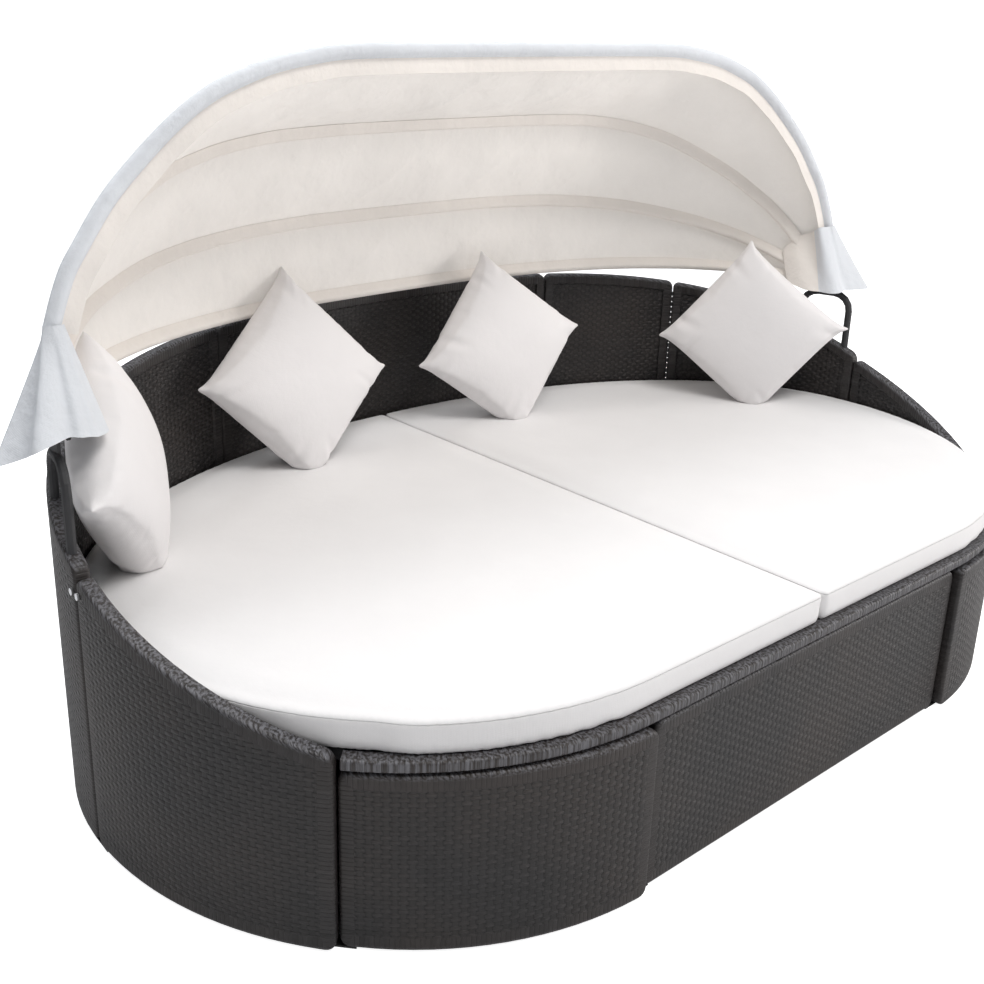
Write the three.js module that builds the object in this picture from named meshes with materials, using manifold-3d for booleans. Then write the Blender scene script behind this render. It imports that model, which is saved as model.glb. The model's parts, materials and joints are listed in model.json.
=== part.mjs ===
// Oval outdoor daybed in flat-strip rattan with a folding canopy, a split mattress and four pillows.
// Millimetres, +Z up, +X to the right seen from the front, +Y towards the backrest.
// The origin lies on the ground under the middle of the whole daybed.
import * as THREE from 'three';
import { mergeVertices } from 'three/addons/utils/BufferGeometryUtils.js';
import Module from 'manifold-3d';

const wasm = await Module();
wasm.setup();

// Plan of the oval: a straight front, two round front corners and a round back
const half_length = 1150;
const front_depth = 675;
const back_depth = 720;
const straight_half = 470;
const back_roundness = 2.1;
const fit_gap = 0.3;
const cut_overrun = 5;
const depth_centre = (back_depth - front_depth) / 2;
const widest_y = -depth_centre;

// Woven panels: strips wrapped round a tube border, with the field let in on the inner face
const wall = 30;
const edge_radius = 7;
const border_width = 26;
const field_recess = 4;
const recess_slope = 3;
const panel_corner = 18;
const seam_gap = 2.4;
const foot_height = 4;
const front_top = 325;
const arm_end_angle = 44;
const arm_end_top = 356;
const arm_joint_top = 528;
const corner_joint_top = 538;
const back_crest_top = 745;
const crest_power = 1.55;
const curved_front_inset = 14;
const middle_front_inset = 14;
const middle_front_gap = 5;
const outer_seam_share = 0.783;
const inner_seam_share = 0.47;

// Seat: front rim rail, ledgers, slatted frames, decks and a centre beam on posts
const rim_top = 350;
const rim_height = 20;
const rim_inset = 10;
const rim_width = 32;
const rim_edge = 6;
const ledger_top = 325;
const ledger_height = 24;
const ledger_width = 22;
const deck_inset = 44;
const deck_frame_height = 20;
const deck_frame_rail = 30;
const slat_width = 40;
const slat_gap_count = 6;
const deck_sheet = 4;
const half_split = 3;
const beam_width = 60;
const beam_height = 25;
const post_width = 40;
const post_end_space = 120;
const batten_inset = 22;
const batten_width = 12;

// Feet under the seams of the panels and under the posts
const foot_length = 56;
const foot_depth = 22;
const post_foot_width = 46;

// Fasteners
const bolt_radius = 3;
const bolt_head_radius = 6.5;
const bolt_head_height = 4;
const bolt_depth = 15;
const joint_bolt_offset = 12;
const joint_bolt_drop = 32;

// Canopy brackets: a bent tube on the corner panel with a welded lug
const bracket_radius = 8.5;
const leg_inset = 14;
const bracket_front_leg = 40;
const bracket_rear_leg = 171;
const bracket_top = 700;
const bracket_bend = 46;
const leg_socket_depth = 70;
const leg_socket_side = 1.2;
const lug_thickness = 6;
const lug_radius = 14;
const hinge_height = 736;

// Canopy hoops: angle back from upright, reach from the hinge, place on the pin and likeness to the rear hoop
const hoop_radius = 8;
const eye_thickness = 5;
const eye_radius = 12;
const eye_pitch = 22;
const pin_radius = 4;
const pin_head_radius = 9;
const pin_head_height = 4;
const nut_radius = 8;
const nut_height = 7;
const eye_clearance = 0.9;
const boss_radius = 7;
const eye_flat_run = 20;
const eye_taper_run = 46;
const tube_start_run = 80;
const front_hoop = { angle: 6.2, reach: 616, slot: 1, rear_share: 0 };
const second_hoop = { angle: 38.1, reach: 568, slot: -1, rear_share: 0.25 };
const third_hoop = { angle: 65.3, reach: 546, slot: -2, rear_share: 0.65 };
const rear_hoop = { angle: 86.6, reach: 530, slot: -3, rear_share: 1 };

// Half outline of the hoops: share of the width at the eyes, then of the reach for the front and the rear hoop
const hoop_outline_shares = [
  [1, 0, 0], [1, 0.036, 0.036], [0.99, 0.1, 0.17], [0.976, 0.21, 0.28], [0.962, 0.302, 0.34],
  [0.934, 0.422, 0.432], [0.906, 0.497, 0.5], [0.862, 0.601, 0.583], [0.818, 0.682, 0.649],
  [0.742, 0.799, 0.738], [0.673, 0.88, 0.8], [0.609, 0.927, 0.846], [0.551, 0.959, 0.88], [0.479, 0.982, 0.915],
  [0.398, 0.996, 0.946], [0.2, 1, 0.989],
];

// Canopy cloth
const cloth = 2.4;
const cloth_lift = 3;
const cloth_sag_share = 0.045;
const cloth_fold_share = 0.02;
const cloth_fold_count = 10;
const gore_end_run = 120;
const band_width = 32;
const band_gap = 0.8;
const flap_run = 190;
const right_flap_run = 152;
const flap_lift = 5.8;
const flap_hem_drop = 20;
const flap_hem_reach = 88;
const flap_fold = 13;
const flap_front_rise = 38;
const flap_cloth_shares = [0.85, 0.6, 0.35, 0.1];
const flap_wrap_angles = [20, 65, 110];
const flap_hem_angles = [-62, -32, -4, 24, 54, 86, 118];
const flap_row_count = 4;
const gore_row_shares = [0, 0.1, 0.3, 0.5, 0.7, 0.9, 1];

// Mattress halves and pillows
const mattress_height = 60;
const mattress_front_inset = 26;
const mattress_wall_gap = 5;
const arm_clearance = 40;
const mattress_crown = 5;
const mattress_round = 13;
const mattress_side_pull = 4;
const crown_run = 150;
const pillow_half_side = 182;
const pillow_half_thickness = 62;
const pillow_side_pull = 18;
const pillow_sink = 9;
const pillow_corner_drop = 9;
const pillow_fullness = 0.42;
const pillow_1_from_hoop = 119.4;
const pillow_1_behind_hinge = 120.5;
const pillow_1_from_back = 168;
const pillow_2_from_back = 157.7;
const pillow_3_from_back = 174.2;
const pillow_4_from_back = 272.7;
const mattress_top = rim_top + mattress_height;

// Angles left free at the ends of the rails
const rim_end_turn = 0.6;
const ledger_back_turn = 2;

// How finely the curves are divided
const plan_samples = 40;
const panel_span_count = 5;
const middle_front_span_count = 3;
const corner_span_count = 6;
const back_side_span_count = 4;
const back_middle_span_count = 8;
const rim_span_count = 8;
const batten_span_count = 7;
const ledger_span_count = 6;
const straight_span_count = 2;
const side_ledger_arm_count = 6;
const side_ledger_back_count = 10;
const hoop_span_count = 24;
const hoop_sides = 8;
const hoop_flat_shares = [1, 1, 0.45, 0];
const eye_sides = 14;
const bore_sides = 12;
const pin_sides = 12;
const nut_sides = 6;
const leg_sides = 10;
const bend_step_count = 4;
const bolt_sides = 8;
const pillow_cells = 10;
const outline_shares = [0, 0.1, 0.22, 0.36, 0.5, 0.64, 0.76, 0.86, 0.93, 0.975, 1];
const mattress_shares = [0, 0.13, 0.26, 0.38, 0.48, 0.57, 0.66, 0.74, 0.81, 0.87, 0.92, 0.96, 0.985, 1];
const straight_limit = 1e-6;
const count_slack = 1e-9;
const seam_look_ahead = 0.5;
const corner_step_share = 0.3;

const degree = Math.PI / 180;
const model = new THREE.Group();

const finishes = {
  rattan: { color: 0x2b2725, roughness: 0.62, metalness: 0 },
  steel_dark: { color: 0x2a2b2d, roughness: 0.45, metalness: 0.5 },
  bolt_steel: { color: 0xb9bbbd, roughness: 0.3, metalness: 0.9 },
  foot_plastic: { color: 0x151515, roughness: 0.6, metalness: 0 },
  deck_web: { color: 0x35312e, roughness: 0.8, metalness: 0 },
  canvas: { color: 0xe8e3d8, roughness: 0.9, metalness: 0 },
  cushion_cloth: { color: 0xece8e2, roughness: 0.9, metalness: 0 },
};

function addPart(name, geometry, finish) {
  const mesh = new THREE.Mesh(geometry, new THREE.MeshStandardMaterial(finishes[finish]));
  mesh.name = name;
  model.add(mesh);
  return mesh;
}

// Closed bodies and booleans

function signedVolume(points, faces) {
  let sum = 0;
  const a = new THREE.Vector3();
  for (const [i, j, k] of faces) {
    sum += a.copy(points[i]).cross(points[j]).dot(points[k]);
  }
  return sum;
}

function bodyFrom(points, faces) {
  const turned = signedVolume(points, faces) < 0 ? faces.map(([i, j, k]) => [i, k, j]) : faces;
  const geometry = new THREE.BufferGeometry();
  const places = points.flatMap((p) => [p.x, p.y, p.z]);
  geometry.setAttribute('position', new THREE.Float32BufferAttribute(places, 3));
  geometry.setIndex(turned.flat());
  return geometry;
}

function ringCap(points, faces, ring, start) {
  const centre = new THREE.Vector3();
  ring.forEach((p) => centre.add(p));
  const hub = points.push(centre.divideScalar(ring.length)) - 1;
  ring.forEach((_, i) => faces.push([hub, start + i, start + ((i + 1) % ring.length)]));
}

// Joins rings of equal length into one closed body with a fan at each end
function loft(rings) {
  const points = rings.flat();
  const faces = [];
  const count = rings[0].length;
  for (let j = 0; j + 1 < rings.length; j++) {
    for (let i = 0; i < count; i++) {
      const here = j * count + i;
      const next = j * count + ((i + 1) % count);
      faces.push([here, next, here + count], [next, next + count, here + count]);
    }
  }
  const last = points.length - count;
  const flipped = [];
  ringCap(points, flipped, rings[0], 0);
  flipped.forEach(([i, j, k]) => faces.push([i, k, j]));
  ringCap(points, faces, rings[rings.length - 1], last);
  return bodyFrom(points, faces);
}

// Gives a grid of points a thickness, as a sheet of cloth
function sheet(grid, thickness) {
  const rows = grid.length;
  const columns = grid[0].length;
  const faces = [];
  const top = [];
  const under = [];
  const at = (j, i) => grid[Math.min(Math.max(j, 0), rows - 1)][Math.min(Math.max(i, 0), columns - 1)];
  for (let j = 0; j < rows; j++) {
    for (let i = 0; i < columns; i++) {
      const along = at(j, i + 1).clone().sub(at(j, i - 1));
      const across = at(j + 1, i).clone().sub(at(j - 1, i));
      const normal = along.cross(across).normalize().multiplyScalar(thickness / 2);
      top.push(at(j, i).clone().add(normal));
      under.push(at(j, i).clone().sub(normal));
    }
  }
  const shift = top.length;
  const cell = (j, i) => j * columns + i;
  for (let j = 0; j + 1 < rows; j++) {
    for (let i = 0; i + 1 < columns; i++) {
      const [a, b, c, d] = [cell(j, i), cell(j, i + 1), cell(j + 1, i + 1), cell(j + 1, i)];
      faces.push([a, b, c], [a, c, d], [a + shift, c + shift, b + shift], [a + shift, d + shift, c + shift]);
    }
  }
  const edge = [];
  for (let i = 0; i + 1 < columns; i++) edge.push([cell(0, i + 1), cell(0, i)]);
  for (let j = 0; j + 1 < rows; j++) edge.push([cell(j, 0), cell(j + 1, 0)]);
  for (let i = 0; i + 1 < columns; i++) edge.push([cell(rows - 1, i), cell(rows - 1, i + 1)]);
  for (let j = 0; j + 1 < rows; j++) edge.push([cell(j + 1, columns - 1), cell(j, columns - 1)]);
  edge.forEach(([a, b]) => faces.push([a, b, b + shift], [a, b + shift, a + shift]));
  return bodyFrom([...top, ...under], faces);
}

// Sweeps an oval section along a plane path; across and along are half sizes at each point
function sweep(path, planeNormal, across, along, sides) {
  const rings = path.map((point, j) => {
    const before = path[Math.max(j - 1, 0)];
    const after = path[Math.min(j + 1, path.length - 1)];
    const side = after.clone().sub(before).normalize().cross(planeNormal).normalize();
    return Array.from({ length: sides }, (_, i) => {
      const turn = ((i + 0.5) / sides) * 2 * Math.PI;
      return point.clone()
        .addScaledVector(side, Math.cos(turn) * across(j) / Math.cos(Math.PI / sides))
        .addScaledVector(planeNormal, Math.sin(turn) * along(j) / Math.cos(Math.PI / sides));
    });
  });
  return loft(rings);
}

function solid(geometry) {
  const bare = geometry.index ? geometry.clone() : geometry;
  bare.deleteAttribute('normal');
  bare.deleteAttribute('uv');
  const merged = mergeVertices(bare);
  return new wasm.Manifold(new wasm.Mesh({
    numProp: 3,
    vertProperties: new Float32Array(merged.attributes.position.array),
    triVerts: new Uint32Array(merged.index.array),
  }));
}

function shape(body) {
  const mesh = body.getMesh();
  const geometry = new THREE.BufferGeometry();
  geometry.setAttribute('position', new THREE.BufferAttribute(new Float32Array(mesh.vertProperties), 3));
  geometry.setIndex(new THREE.BufferAttribute(new Uint32Array(mesh.triVerts), 1));
  return geometry;
}

function joined(geometries) {
  return shape(geometries.map(solid).reduce((sum, next) => sum.add(next)));
}

function cutFrom(geometry, tools) {
  return shape(tools.map(solid).reduce((rest, tool) => rest.subtract(tool), solid(geometry)));
}

function box(width, depth, height, x, y, z) {
  return new THREE.BoxGeometry(width, depth, height).translate(x, y, z);
}

// Round bar from one point to another
function bar(radius, from, to, sides) {
  const run = to.clone().sub(from);
  const turn = new THREE.Quaternion().setFromUnitVectors(new THREE.Vector3(0, 1, 0), run.clone().normalize());
  const middle = from.clone().add(to).multiplyScalar(0.5);
  return new THREE.CylinderGeometry(radius, radius, run.length(), sides).applyQuaternion(turn)
    .translate(middle.x, middle.y, middle.z);
}

// Plan curves; inset is the distance inside the outline

function backPoint(angle, inset) {
  const share = 2 / back_roundness;
  const c = Math.cos(angle * degree);
  const s = Math.sin(angle * degree);
  const x = (half_length - inset) * Math.sign(c) * Math.abs(c) ** share;
  return new THREE.Vector2(x, widest_y + (back_depth - inset) * Math.abs(s) ** share);
}

function frontPoint(side, angle, inset) {
  const reach = half_length - straight_half - inset;
  const x = straight_half + reach * Math.cos(angle * degree);
  return new THREE.Vector2(side * x, widest_y - (front_depth - inset) * Math.sin(angle * degree));
}

function backEdge(x, inset) {
  const share = Math.min(Math.abs(x) / (half_length - inset), 1);
  return widest_y + (back_depth - inset) * (1 - share ** back_roundness) ** (1 / back_roundness);
}

function frontEdge(x, inset) {
  const run = Math.max(Math.abs(x) - straight_half, 0) / (half_length - straight_half - inset);
  return widest_y - (front_depth - inset) * Math.sqrt(Math.max(1 - run * run, 0));
}

// Angle on the back curve where the outline has a given share of the half length
function backAngle(share) {
  return Math.acos(share ** (back_roundness / 2)) / degree;
}

function backTop(angle) {
  const rise = 1 - (1 - Math.sin(angle * degree)) ** crest_power;
  return corner_joint_top + (back_crest_top - corner_joint_top) * rise;
}

function armTop(angle) {
  const fall = Math.sin(angle * degree) / Math.sin(arm_end_angle * degree);
  return arm_joint_top + (arm_end_top - arm_joint_top) * fall;
}

function place(point, z) {
  return new THREE.Vector3(point.x, point.y, z);
}

// Woven panels

// Distances of the sections along a panel: close at the rounded ends, wide between
function panelStations(length, spans) {
  const ends = [0, corner_step_share * panel_corner, panel_corner, border_width, border_width + recess_slope];
  const start = ends[ends.length - 1];
  const steps = Array.from({ length: spans - 1 }, (_, i) => (i + 1) / spans);
  const inner = steps.map((share) => start + share * (length - 2 * start));
  return [...ends, ...inner, ...ends.map((d) => length - d).reverse()];
}

function cornerDrop(distance) {
  const short = Math.max(panel_corner - distance, 0);
  return panel_corner - Math.sqrt(panel_corner ** 2 - short ** 2);
}

// One section of a panel, from the outer bottom edge round the top to the inner bottom edge
function panelSection(low, high, recess) {
  const e = edge_radius;
  const soft = e * (1 - Math.SQRT1_2);
  return [
    [e, low], [0, low + e], [0, high - e], [soft, high - soft], [e, high],
    [wall - e, high], [wall - soft, high - soft], [wall, high - e],
    [wall, high - border_width], [wall - recess, high - border_width - recess_slope],
    [wall - recess, low + border_width + recess_slope], [wall, low + border_width],
    [wall, low + e], [wall - e, low],
  ];
}

// at(k, inset) gives the plan point at share k of the panel, top(k) its height there
function wovenPanel({ at, top, inset = () => 0, spans = panel_span_count, gap = seam_gap }) {
  const shares = Array.from({ length: plan_samples + 1 }, (_, i) => i / plan_samples);
  const samples = shares.map((k) => at(k, inset(k)));
  const steps = samples.map((p, i) => (i ? p.distanceTo(samples[i - 1]) : 0));
  const lengths = steps.reduce((list, step) => [...list, step + (list[list.length - 1] ?? 0)], []);
  const full = lengths[lengths.length - 1];
  const shareAt = (distance) => {
    const i = Math.min(lengths.findIndex((l) => l > distance - count_slack), lengths.length - 1) || 1;
    return (i - (lengths[i] - distance) / (lengths[i] - lengths[i - 1])) / (samples.length - 1);
  };
  const length = full - gap;
  const rings = panelStations(length, spans).map((distance) => {
    const k = shareAt(Math.min(distance + gap / 2, full));
    const fromEnd = Math.min(distance, length - distance);
    const drop = cornerDrop(fromEnd);
    const recess = fromEnd > border_width + recess_slope / 2 ? field_recess : 0;
    return panelSection(foot_height + drop, top(k) - drop, recess)
      .map(([depth, z]) => place(at(k, inset(k) + depth), z));
  });
  return loft(rings);
}

const outer_seam = backAngle(outer_seam_share);
const inner_seam = backAngle(inner_seam_share);
const mix = (a, b, k) => a + (b - a) * k;
const sides = [{ side: -1, word: 'left' }, { side: 1, word: 'right' }];

function armPanel(side) {
  return wovenPanel({
    at: (k, inset) => frontPoint(side, mix(0, arm_end_angle, k), inset),
    top: (k) => armTop(mix(0, arm_end_angle, k)),
  });
}

function curvedFrontPanel(side) {
  return wovenPanel({
    at: (k, inset) => frontPoint(side, mix(arm_end_angle, 90, k), inset),
    inset: (k) => curved_front_inset * (1 - k),
    top: () => front_top,
  });
}

function middleFrontPanel() {
  return wovenPanel({
    at: (k, inset) => new THREE.Vector2(mix(-straight_half, straight_half, k), frontEdge(0, inset)),
    inset: () => middle_front_inset,
    top: () => front_top,
    spans: middle_front_span_count,
    gap: 2 * middle_front_gap,
  });
}

function backPanel(from, to, spans) {
  return wovenPanel({
    at: (k, inset) => backPoint(mix(from, to, k), inset),
    top: (k) => backTop(mix(from, to, k)),
    spans,
  });
}

// Canopy hinge and brackets

const legPoint = (side, rise) => {
  const y = widest_y + rise;
  const share = (rise / (back_depth - leg_inset)) ** back_roundness;
  return new THREE.Vector2(side * (half_length - leg_inset) * (1 - share) ** (1 / back_roundness), y);
};
const front_leg = legPoint(1, bracket_front_leg);
const rear_leg = legPoint(1, bracket_rear_leg);
const lug_x = (front_leg.x + rear_leg.x) / 2;
const hinge_y = (front_leg.y + rear_leg.y) / 2;

function heightAt(y) {
  return backTop(Math.asin(((y - widest_y) / back_depth) ** (back_roundness / 2)) / degree);
}

function legSocket(side, leg) {
  const low = heightAt(leg.y) - leg_socket_depth - fit_gap;
  const centre = (z) => new THREE.Vector3(side * leg.x, leg.y, z);
  return bar(bracket_radius + leg_socket_side, centre(low), centre(bracket_top), leg_sides);
}

// Quarter bend between two straight runs of the bracket tube
function bendPoints(corner, into, out, radius, steps) {
  const centre = corner.clone().addScaledVector(into, -radius).addScaledVector(out, radius);
  return Array.from({ length: steps + 1 }, (_, i) => {
    const turn = (i / steps) * Math.PI / 2;
    return centre.clone()
      .addScaledVector(out, -radius * Math.cos(turn))
      .addScaledVector(into, radius * Math.sin(turn));
  });
}

function bracket(side) {
  const foot = (leg) => new THREE.Vector3(side * leg.x, leg.y, heightAt(leg.y) - leg_socket_depth);
  const head = (leg) => new THREE.Vector3(side * leg.x, leg.y, bracket_top);
  const up = new THREE.Vector3(0, 0, 1);
  const down = up.clone().negate();
  const run = head(rear_leg).sub(head(front_leg)).normalize();
  const path = [
    foot(front_leg),
    ...bendPoints(head(front_leg), up, run, bracket_bend, bend_step_count),
    ...bendPoints(head(rear_leg), run, down, bracket_bend, bend_step_count),
    foot(rear_leg),
  ];
  const normal = new THREE.Vector3().crossVectors(run, up).normalize();
  const tube = sweep(path, normal, () => bracket_radius, () => bracket_radius, leg_sides);
  const eye = new THREE.Vector3(side * lug_x, hinge_y, hinge_height);
  const half = new THREE.Vector3(lug_thickness / 2, 0, 0);
  const round = bar(lug_radius, eye.clone().sub(half), eye.clone().add(half), eye_sides);
  const stem_height = hinge_height - bracket_top;
  const stem = box(lug_thickness, 2 * lug_radius, stem_height, eye.x, eye.y, bracket_top + stem_height / 2);
  const over = half.clone().multiplyScalar(cut_overrun);
  const bore = bar(pin_radius + fit_gap, eye.clone().sub(over), eye.clone().add(over), bore_sides);
  return cutFrom(joined([tube, stem, round]), [bore]);
}

// Hoop and cloth curves, by the run along the hoop from its left eye

const eyeAcross = (hoop) => lug_x + hoop.slot * eye_pitch;

function hoopCurve(hoop) {
  const half = hoop_outline_shares.map(([across, front, rear]) => (
    new THREE.Vector2(across * eyeAcross(hoop), mix(front, rear, hoop.rear_share) * hoop.reach)));
  const other = half.map(({ x, y }) => new THREE.Vector2(-x, y));
  return new THREE.SplineCurve([...other, ...half.reverse()]);
}

const hoops = [front_hoop, second_hoop, third_hoop, rear_hoop];
const hoop_curves = new Map(hoops.map((hoop) => [hoop, hoopCurve(hoop)]));
const hoop_length = hoop_curves.get(front_hoop).getLength();
const hoop_end_runs = [0, eye_flat_run, eye_taper_run, tube_start_run, gore_end_run, flap_run];

function hoopShares() {
  const ends = hoop_end_runs.map((run) => run / hoop_length);
  const start = ends[ends.length - 1];
  const steps = Array.from({ length: hoop_span_count - 1 }, (_, i) => (i + 1) / hoop_span_count);
  const inner = steps.map((share) => mix(start, 1 - start, share));
  return [...ends, ...inner, ...ends.map((share) => 1 - share).reverse()];
}

function hoopPoint(hoop, share, offset) {
  const curve = hoop_curves.get(hoop);
  const run = curve.getTangentAt(share);
  return curve.getPointAt(share).add(new THREE.Vector2(-run.y, run.x).multiplyScalar(offset));
}

function hoopPlace(hoop, share, offset) {
  const { x, y: rise } = hoopPoint(hoop, share, offset);
  const tilt = hoop.angle * degree;
  return new THREE.Vector3(x, hinge_y + rise * Math.sin(tilt), hinge_height + rise * Math.cos(tilt));
}

// The tube ends are pressed flat and rounded into eyes, each with a boss that keeps its place on the pin
function hoop(spec) {
  const path = hoopShares().map((share) => {
    const point = hoopPoint(spec, share, 0);
    return new THREE.Vector3(point.x, 0, point.y);
  });
  const flat = (j) => hoop_flat_shares[Math.min(j, path.length - 1 - j)] ?? 0;
  const across = (j) => mix(hoop_radius, eye_thickness / 2, flat(j));
  const along = (j) => mix(hoop_radius, eye_radius, flat(j));
  const tube = sweep(path, new THREE.Vector3(0, 1, 0), across, along, hoop_sides);
  const bosses = [-1, 1].map((side) => {
    const at = (x) => new THREE.Vector3(side * x, 0, 0);
    const eye = eyeAcross(spec);
    const boss_end = spec.slot > 0 ? lug_x + lug_thickness / 2 + fit_gap : eye + bossReach(spec);
    const disc = bar(eye_radius, at(eye - eye_thickness / 2), at(eye + eye_thickness / 2), eye_sides);
    const boss = bar(boss_radius, at(eye), at(boss_end), bore_sides);
    const bore = bar(pin_radius + fit_gap, at(eye - eye_pitch), at(eye + eye_pitch), bore_sides);
    return { disc, boss, bore };
  });
  const body = joined([tube, ...bosses.flatMap(({ disc, boss }) => [disc, boss])]);
  return cutFrom(body, bosses.map(({ bore }) => bore));
}

// Length of the boss of an inner hoop, from the middle of its eye to the face beside it
function bossReach(spec) {
  const beside = spec.slot === -1 ? lug_thickness / 2 + fit_gap : eye_thickness / 2 + eye_clearance;
  return eye_pitch - beside;
}

function addHoop(name, spec) {
  const mesh = addPart(name, hoop(spec), 'steel_dark');
  mesh.position.set(0, hinge_y, hinge_height);
  mesh.rotation.x = -spec.angle * degree;
}

// Pin and nut of one hinge

const pin_outer = lug_x + eye_pitch + eye_thickness / 2 + eye_clearance;
const pin_inner = lug_x - 3 * eye_pitch - eye_thickness / 2 - eye_clearance;

function hingePin(side) {
  const at = (x) => new THREE.Vector3(side * x, hinge_y, hinge_height);
  const tip = at(pin_inner - nut_height - pin_radius);
  const shank = bar(pin_radius, tip, at(pin_outer + pin_head_height / 2), pin_sides);
  const head = bar(pin_head_radius, at(pin_outer), at(pin_outer + pin_head_height), eye_sides);
  return joined([shank, head]);
}

function hingeNut(side) {
  const at = (x) => new THREE.Vector3(side * x, hinge_y, hinge_height);
  const body = bar(nut_radius, at(pin_inner - nut_height), at(pin_inner), nut_sides);
  const bore_start = at(pin_inner - nut_height - cut_overrun);
  const bore = bar(pin_radius + fit_gap, bore_start, at(pin_inner + cut_overrun), pin_sides);
  return cutFrom(body, [bore]);
}

// Cloth between two hoops, lying over the tubes, drawn in and softly folded between them
const cloth_offset = hoop_radius + cloth_lift + cloth / 2;
const cloth_end_share = gore_end_run / hoop_length;
const reachesCloth = (share) => share >= cloth_end_share && share <= 1 - cloth_end_share;
const cloth_shares = hoopShares().filter(reachesCloth);

function gorePoint(before, after, along, share, lift) {
  const start = hoopPlace(before, along, cloth_offset + lift);
  const end = hoopPlace(after, along, cloth_offset + lift);
  const width = start.distanceTo(end);
  const point = start.lerp(end, share);
  const middle = Math.sin(share * Math.PI) ** 2;
  const height = Math.sin(along * Math.PI);
  const fold = cloth_fold_share * Math.cos((along - 1 / 2) * Math.PI * cloth_fold_count) * (1 - height);
  const inward = new THREE.Vector3(point.x, point.y - hinge_y, point.z - hinge_height).normalize();
  return point.addScaledVector(inward, -middle * width * (cloth_sag_share * height + fold));
}

function gore(before, after) {
  const gap_share = (fit_gap + cloth) / before.reach;
  const rows = gore_row_shares.map((share) => mix(gap_share, 1 - gap_share, share));
  const grid = rows.map((share) => cloth_shares.map((along) => gorePoint(before, after, along, share, 0)));
  return sheet(grid, cloth);
}

// Web of the front pocket, inside the front hoop
function frontBand() {
  const outer = -(hoop_radius + band_gap);
  const grid = [outer, outer - band_width].map((offset) => (
    cloth_shares.slice(1, -1).map((along) => hoopPlace(front_hoop, along, offset))));
  return sheet(grid, cloth);
}

// Loose flap that covers one hinge: its top lies on the side of the canopy, its hem flares
function flapTopRow(side) {
  const along = side > 0 ? 1 - right_flap_run / hoop_length : flap_run / hoop_length;
  const on_cloth = flap_cloth_shares.map((share) => (
    gorePoint(front_hoop, second_hoop, along, share, flap_lift)));
  const centre = hoopPlace(front_hoop, along, 0);
  const tilt = front_hoop.angle * degree;
  const ahead = new THREE.Vector3(0, -Math.cos(tilt), Math.sin(tilt));
  const outward = new THREE.Vector3(side, 0, 0);
  const round = flap_wrap_angles.map((turn) => centre.clone()
    .addScaledVector(outward, Math.cos(turn * degree) * (cloth_offset + flap_lift))
    .addScaledVector(ahead, Math.sin(turn * degree) * (cloth_offset + flap_lift)));
  return [...on_cloth, ...round];
}

function flapHemRow(side) {
  const last_turn = flap_hem_angles[flap_hem_angles.length - 1];
  return flap_hem_angles.map((turn, i) => {
    const reach = flap_hem_reach + flap_fold * Math.cos(i * Math.PI);
    return new THREE.Vector3(
      side * (lug_x + reach * Math.cos(turn * degree)),
      hinge_y - reach * Math.sin(turn * degree),
      hinge_height - flap_hem_drop + flap_front_rise * Math.max(turn / last_turn, 0) ** 2,
    );
  });
}

function flap(side) {
  const top = flapTopRow(side);
  const hem = flapHemRow(side);
  const grid = Array.from({ length: flap_row_count + 1 }, (_, j) => {
    const share = j / flap_row_count;
    return top.map((point, i) => point.clone().lerp(hem[i], share));
  });
  return sheet(grid, cloth);
}

// Seat: rim, ledgers, frames, decks, beam and posts

function plainRail(points, depth, low, high, edge) {
  return loft(points.map((at) => [
    [0, low + edge], [edge, low], [depth - edge, low], [depth, low + edge],
    [depth, high - edge], [depth - edge, high], [edge, high], [0, high - edge],
  ].map(([d, z]) => place(at(d), z))));
}

// Sections from one arm end, along the front, to the other
function frontRun(inset, end_angle, corner_spans, straight_spans) {
  const left = Array.from({ length: corner_spans + 1 }, (_, i) => (
    (d) => frontPoint(-1, mix(end_angle, 90, i / corner_spans), inset + d)));
  const right = Array.from({ length: corner_spans + 1 }, (_, i) => (
    (d) => frontPoint(1, mix(90, end_angle, i / corner_spans), inset + d)));
  const middle = Array.from({ length: straight_spans - 1 }, (_, i) => {
    const x = mix(-straight_half, straight_half, (i + 1) / straight_spans);
    return (d) => new THREE.Vector2(x, frontEdge(0, inset + d));
  });
  return [...left, ...middle, ...right];
}

function frontRim() {
  const start = arm_end_angle + rim_end_turn;
  const run = frontRun(rim_inset, start, rim_span_count, straight_span_count);
  return plainRail(run, rim_width, rim_top - rim_height, rim_top, rim_edge);
}

const ledger_inset = wall + fit_gap;
const front_ledger_inset = ledger_inset + Math.max(curved_front_inset, middle_front_inset);

function frontLedger() {
  const start = arm_end_angle + 2 * rim_end_turn;
  const run = frontRun(front_ledger_inset, start, ledger_span_count, straight_span_count);
  return plainRail(run, ledger_width, ledger_top - ledger_height, ledger_top, fit_gap);
}

function sideLedger(side) {
  const arm = Array.from({ length: side_ledger_arm_count }, (_, i) => (
    (d) => frontPoint(side, mix(arm_end_angle - 1, 0, i / side_ledger_arm_count), ledger_inset + d)));
  const back = Array.from({ length: side_ledger_back_count + 1 }, (_, i) => (d) => {
    const point = backPoint(mix(0, 90 - ledger_back_turn, i / side_ledger_back_count), ledger_inset + d);
    return new THREE.Vector2(side * point.x, point.y);
  });
  return plainRail([...arm, ...back], ledger_width, ledger_top - ledger_height, ledger_top, fit_gap);
}

// Outline of one seat half between the split and the walls, in plan, for the right side
function halfOutline(inset, split) {
  const reach = half_length - inset;
  const across = outline_shares.map((share) => mix(split, reach, share));
  const back = across.map((x) => new THREE.Vector2(x, backEdge(x, inset)));
  const front = across.slice(0, -1).map((x) => new THREE.Vector2(x, frontEdge(x, inset))).reverse();
  return [...back, ...front];
}

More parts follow.
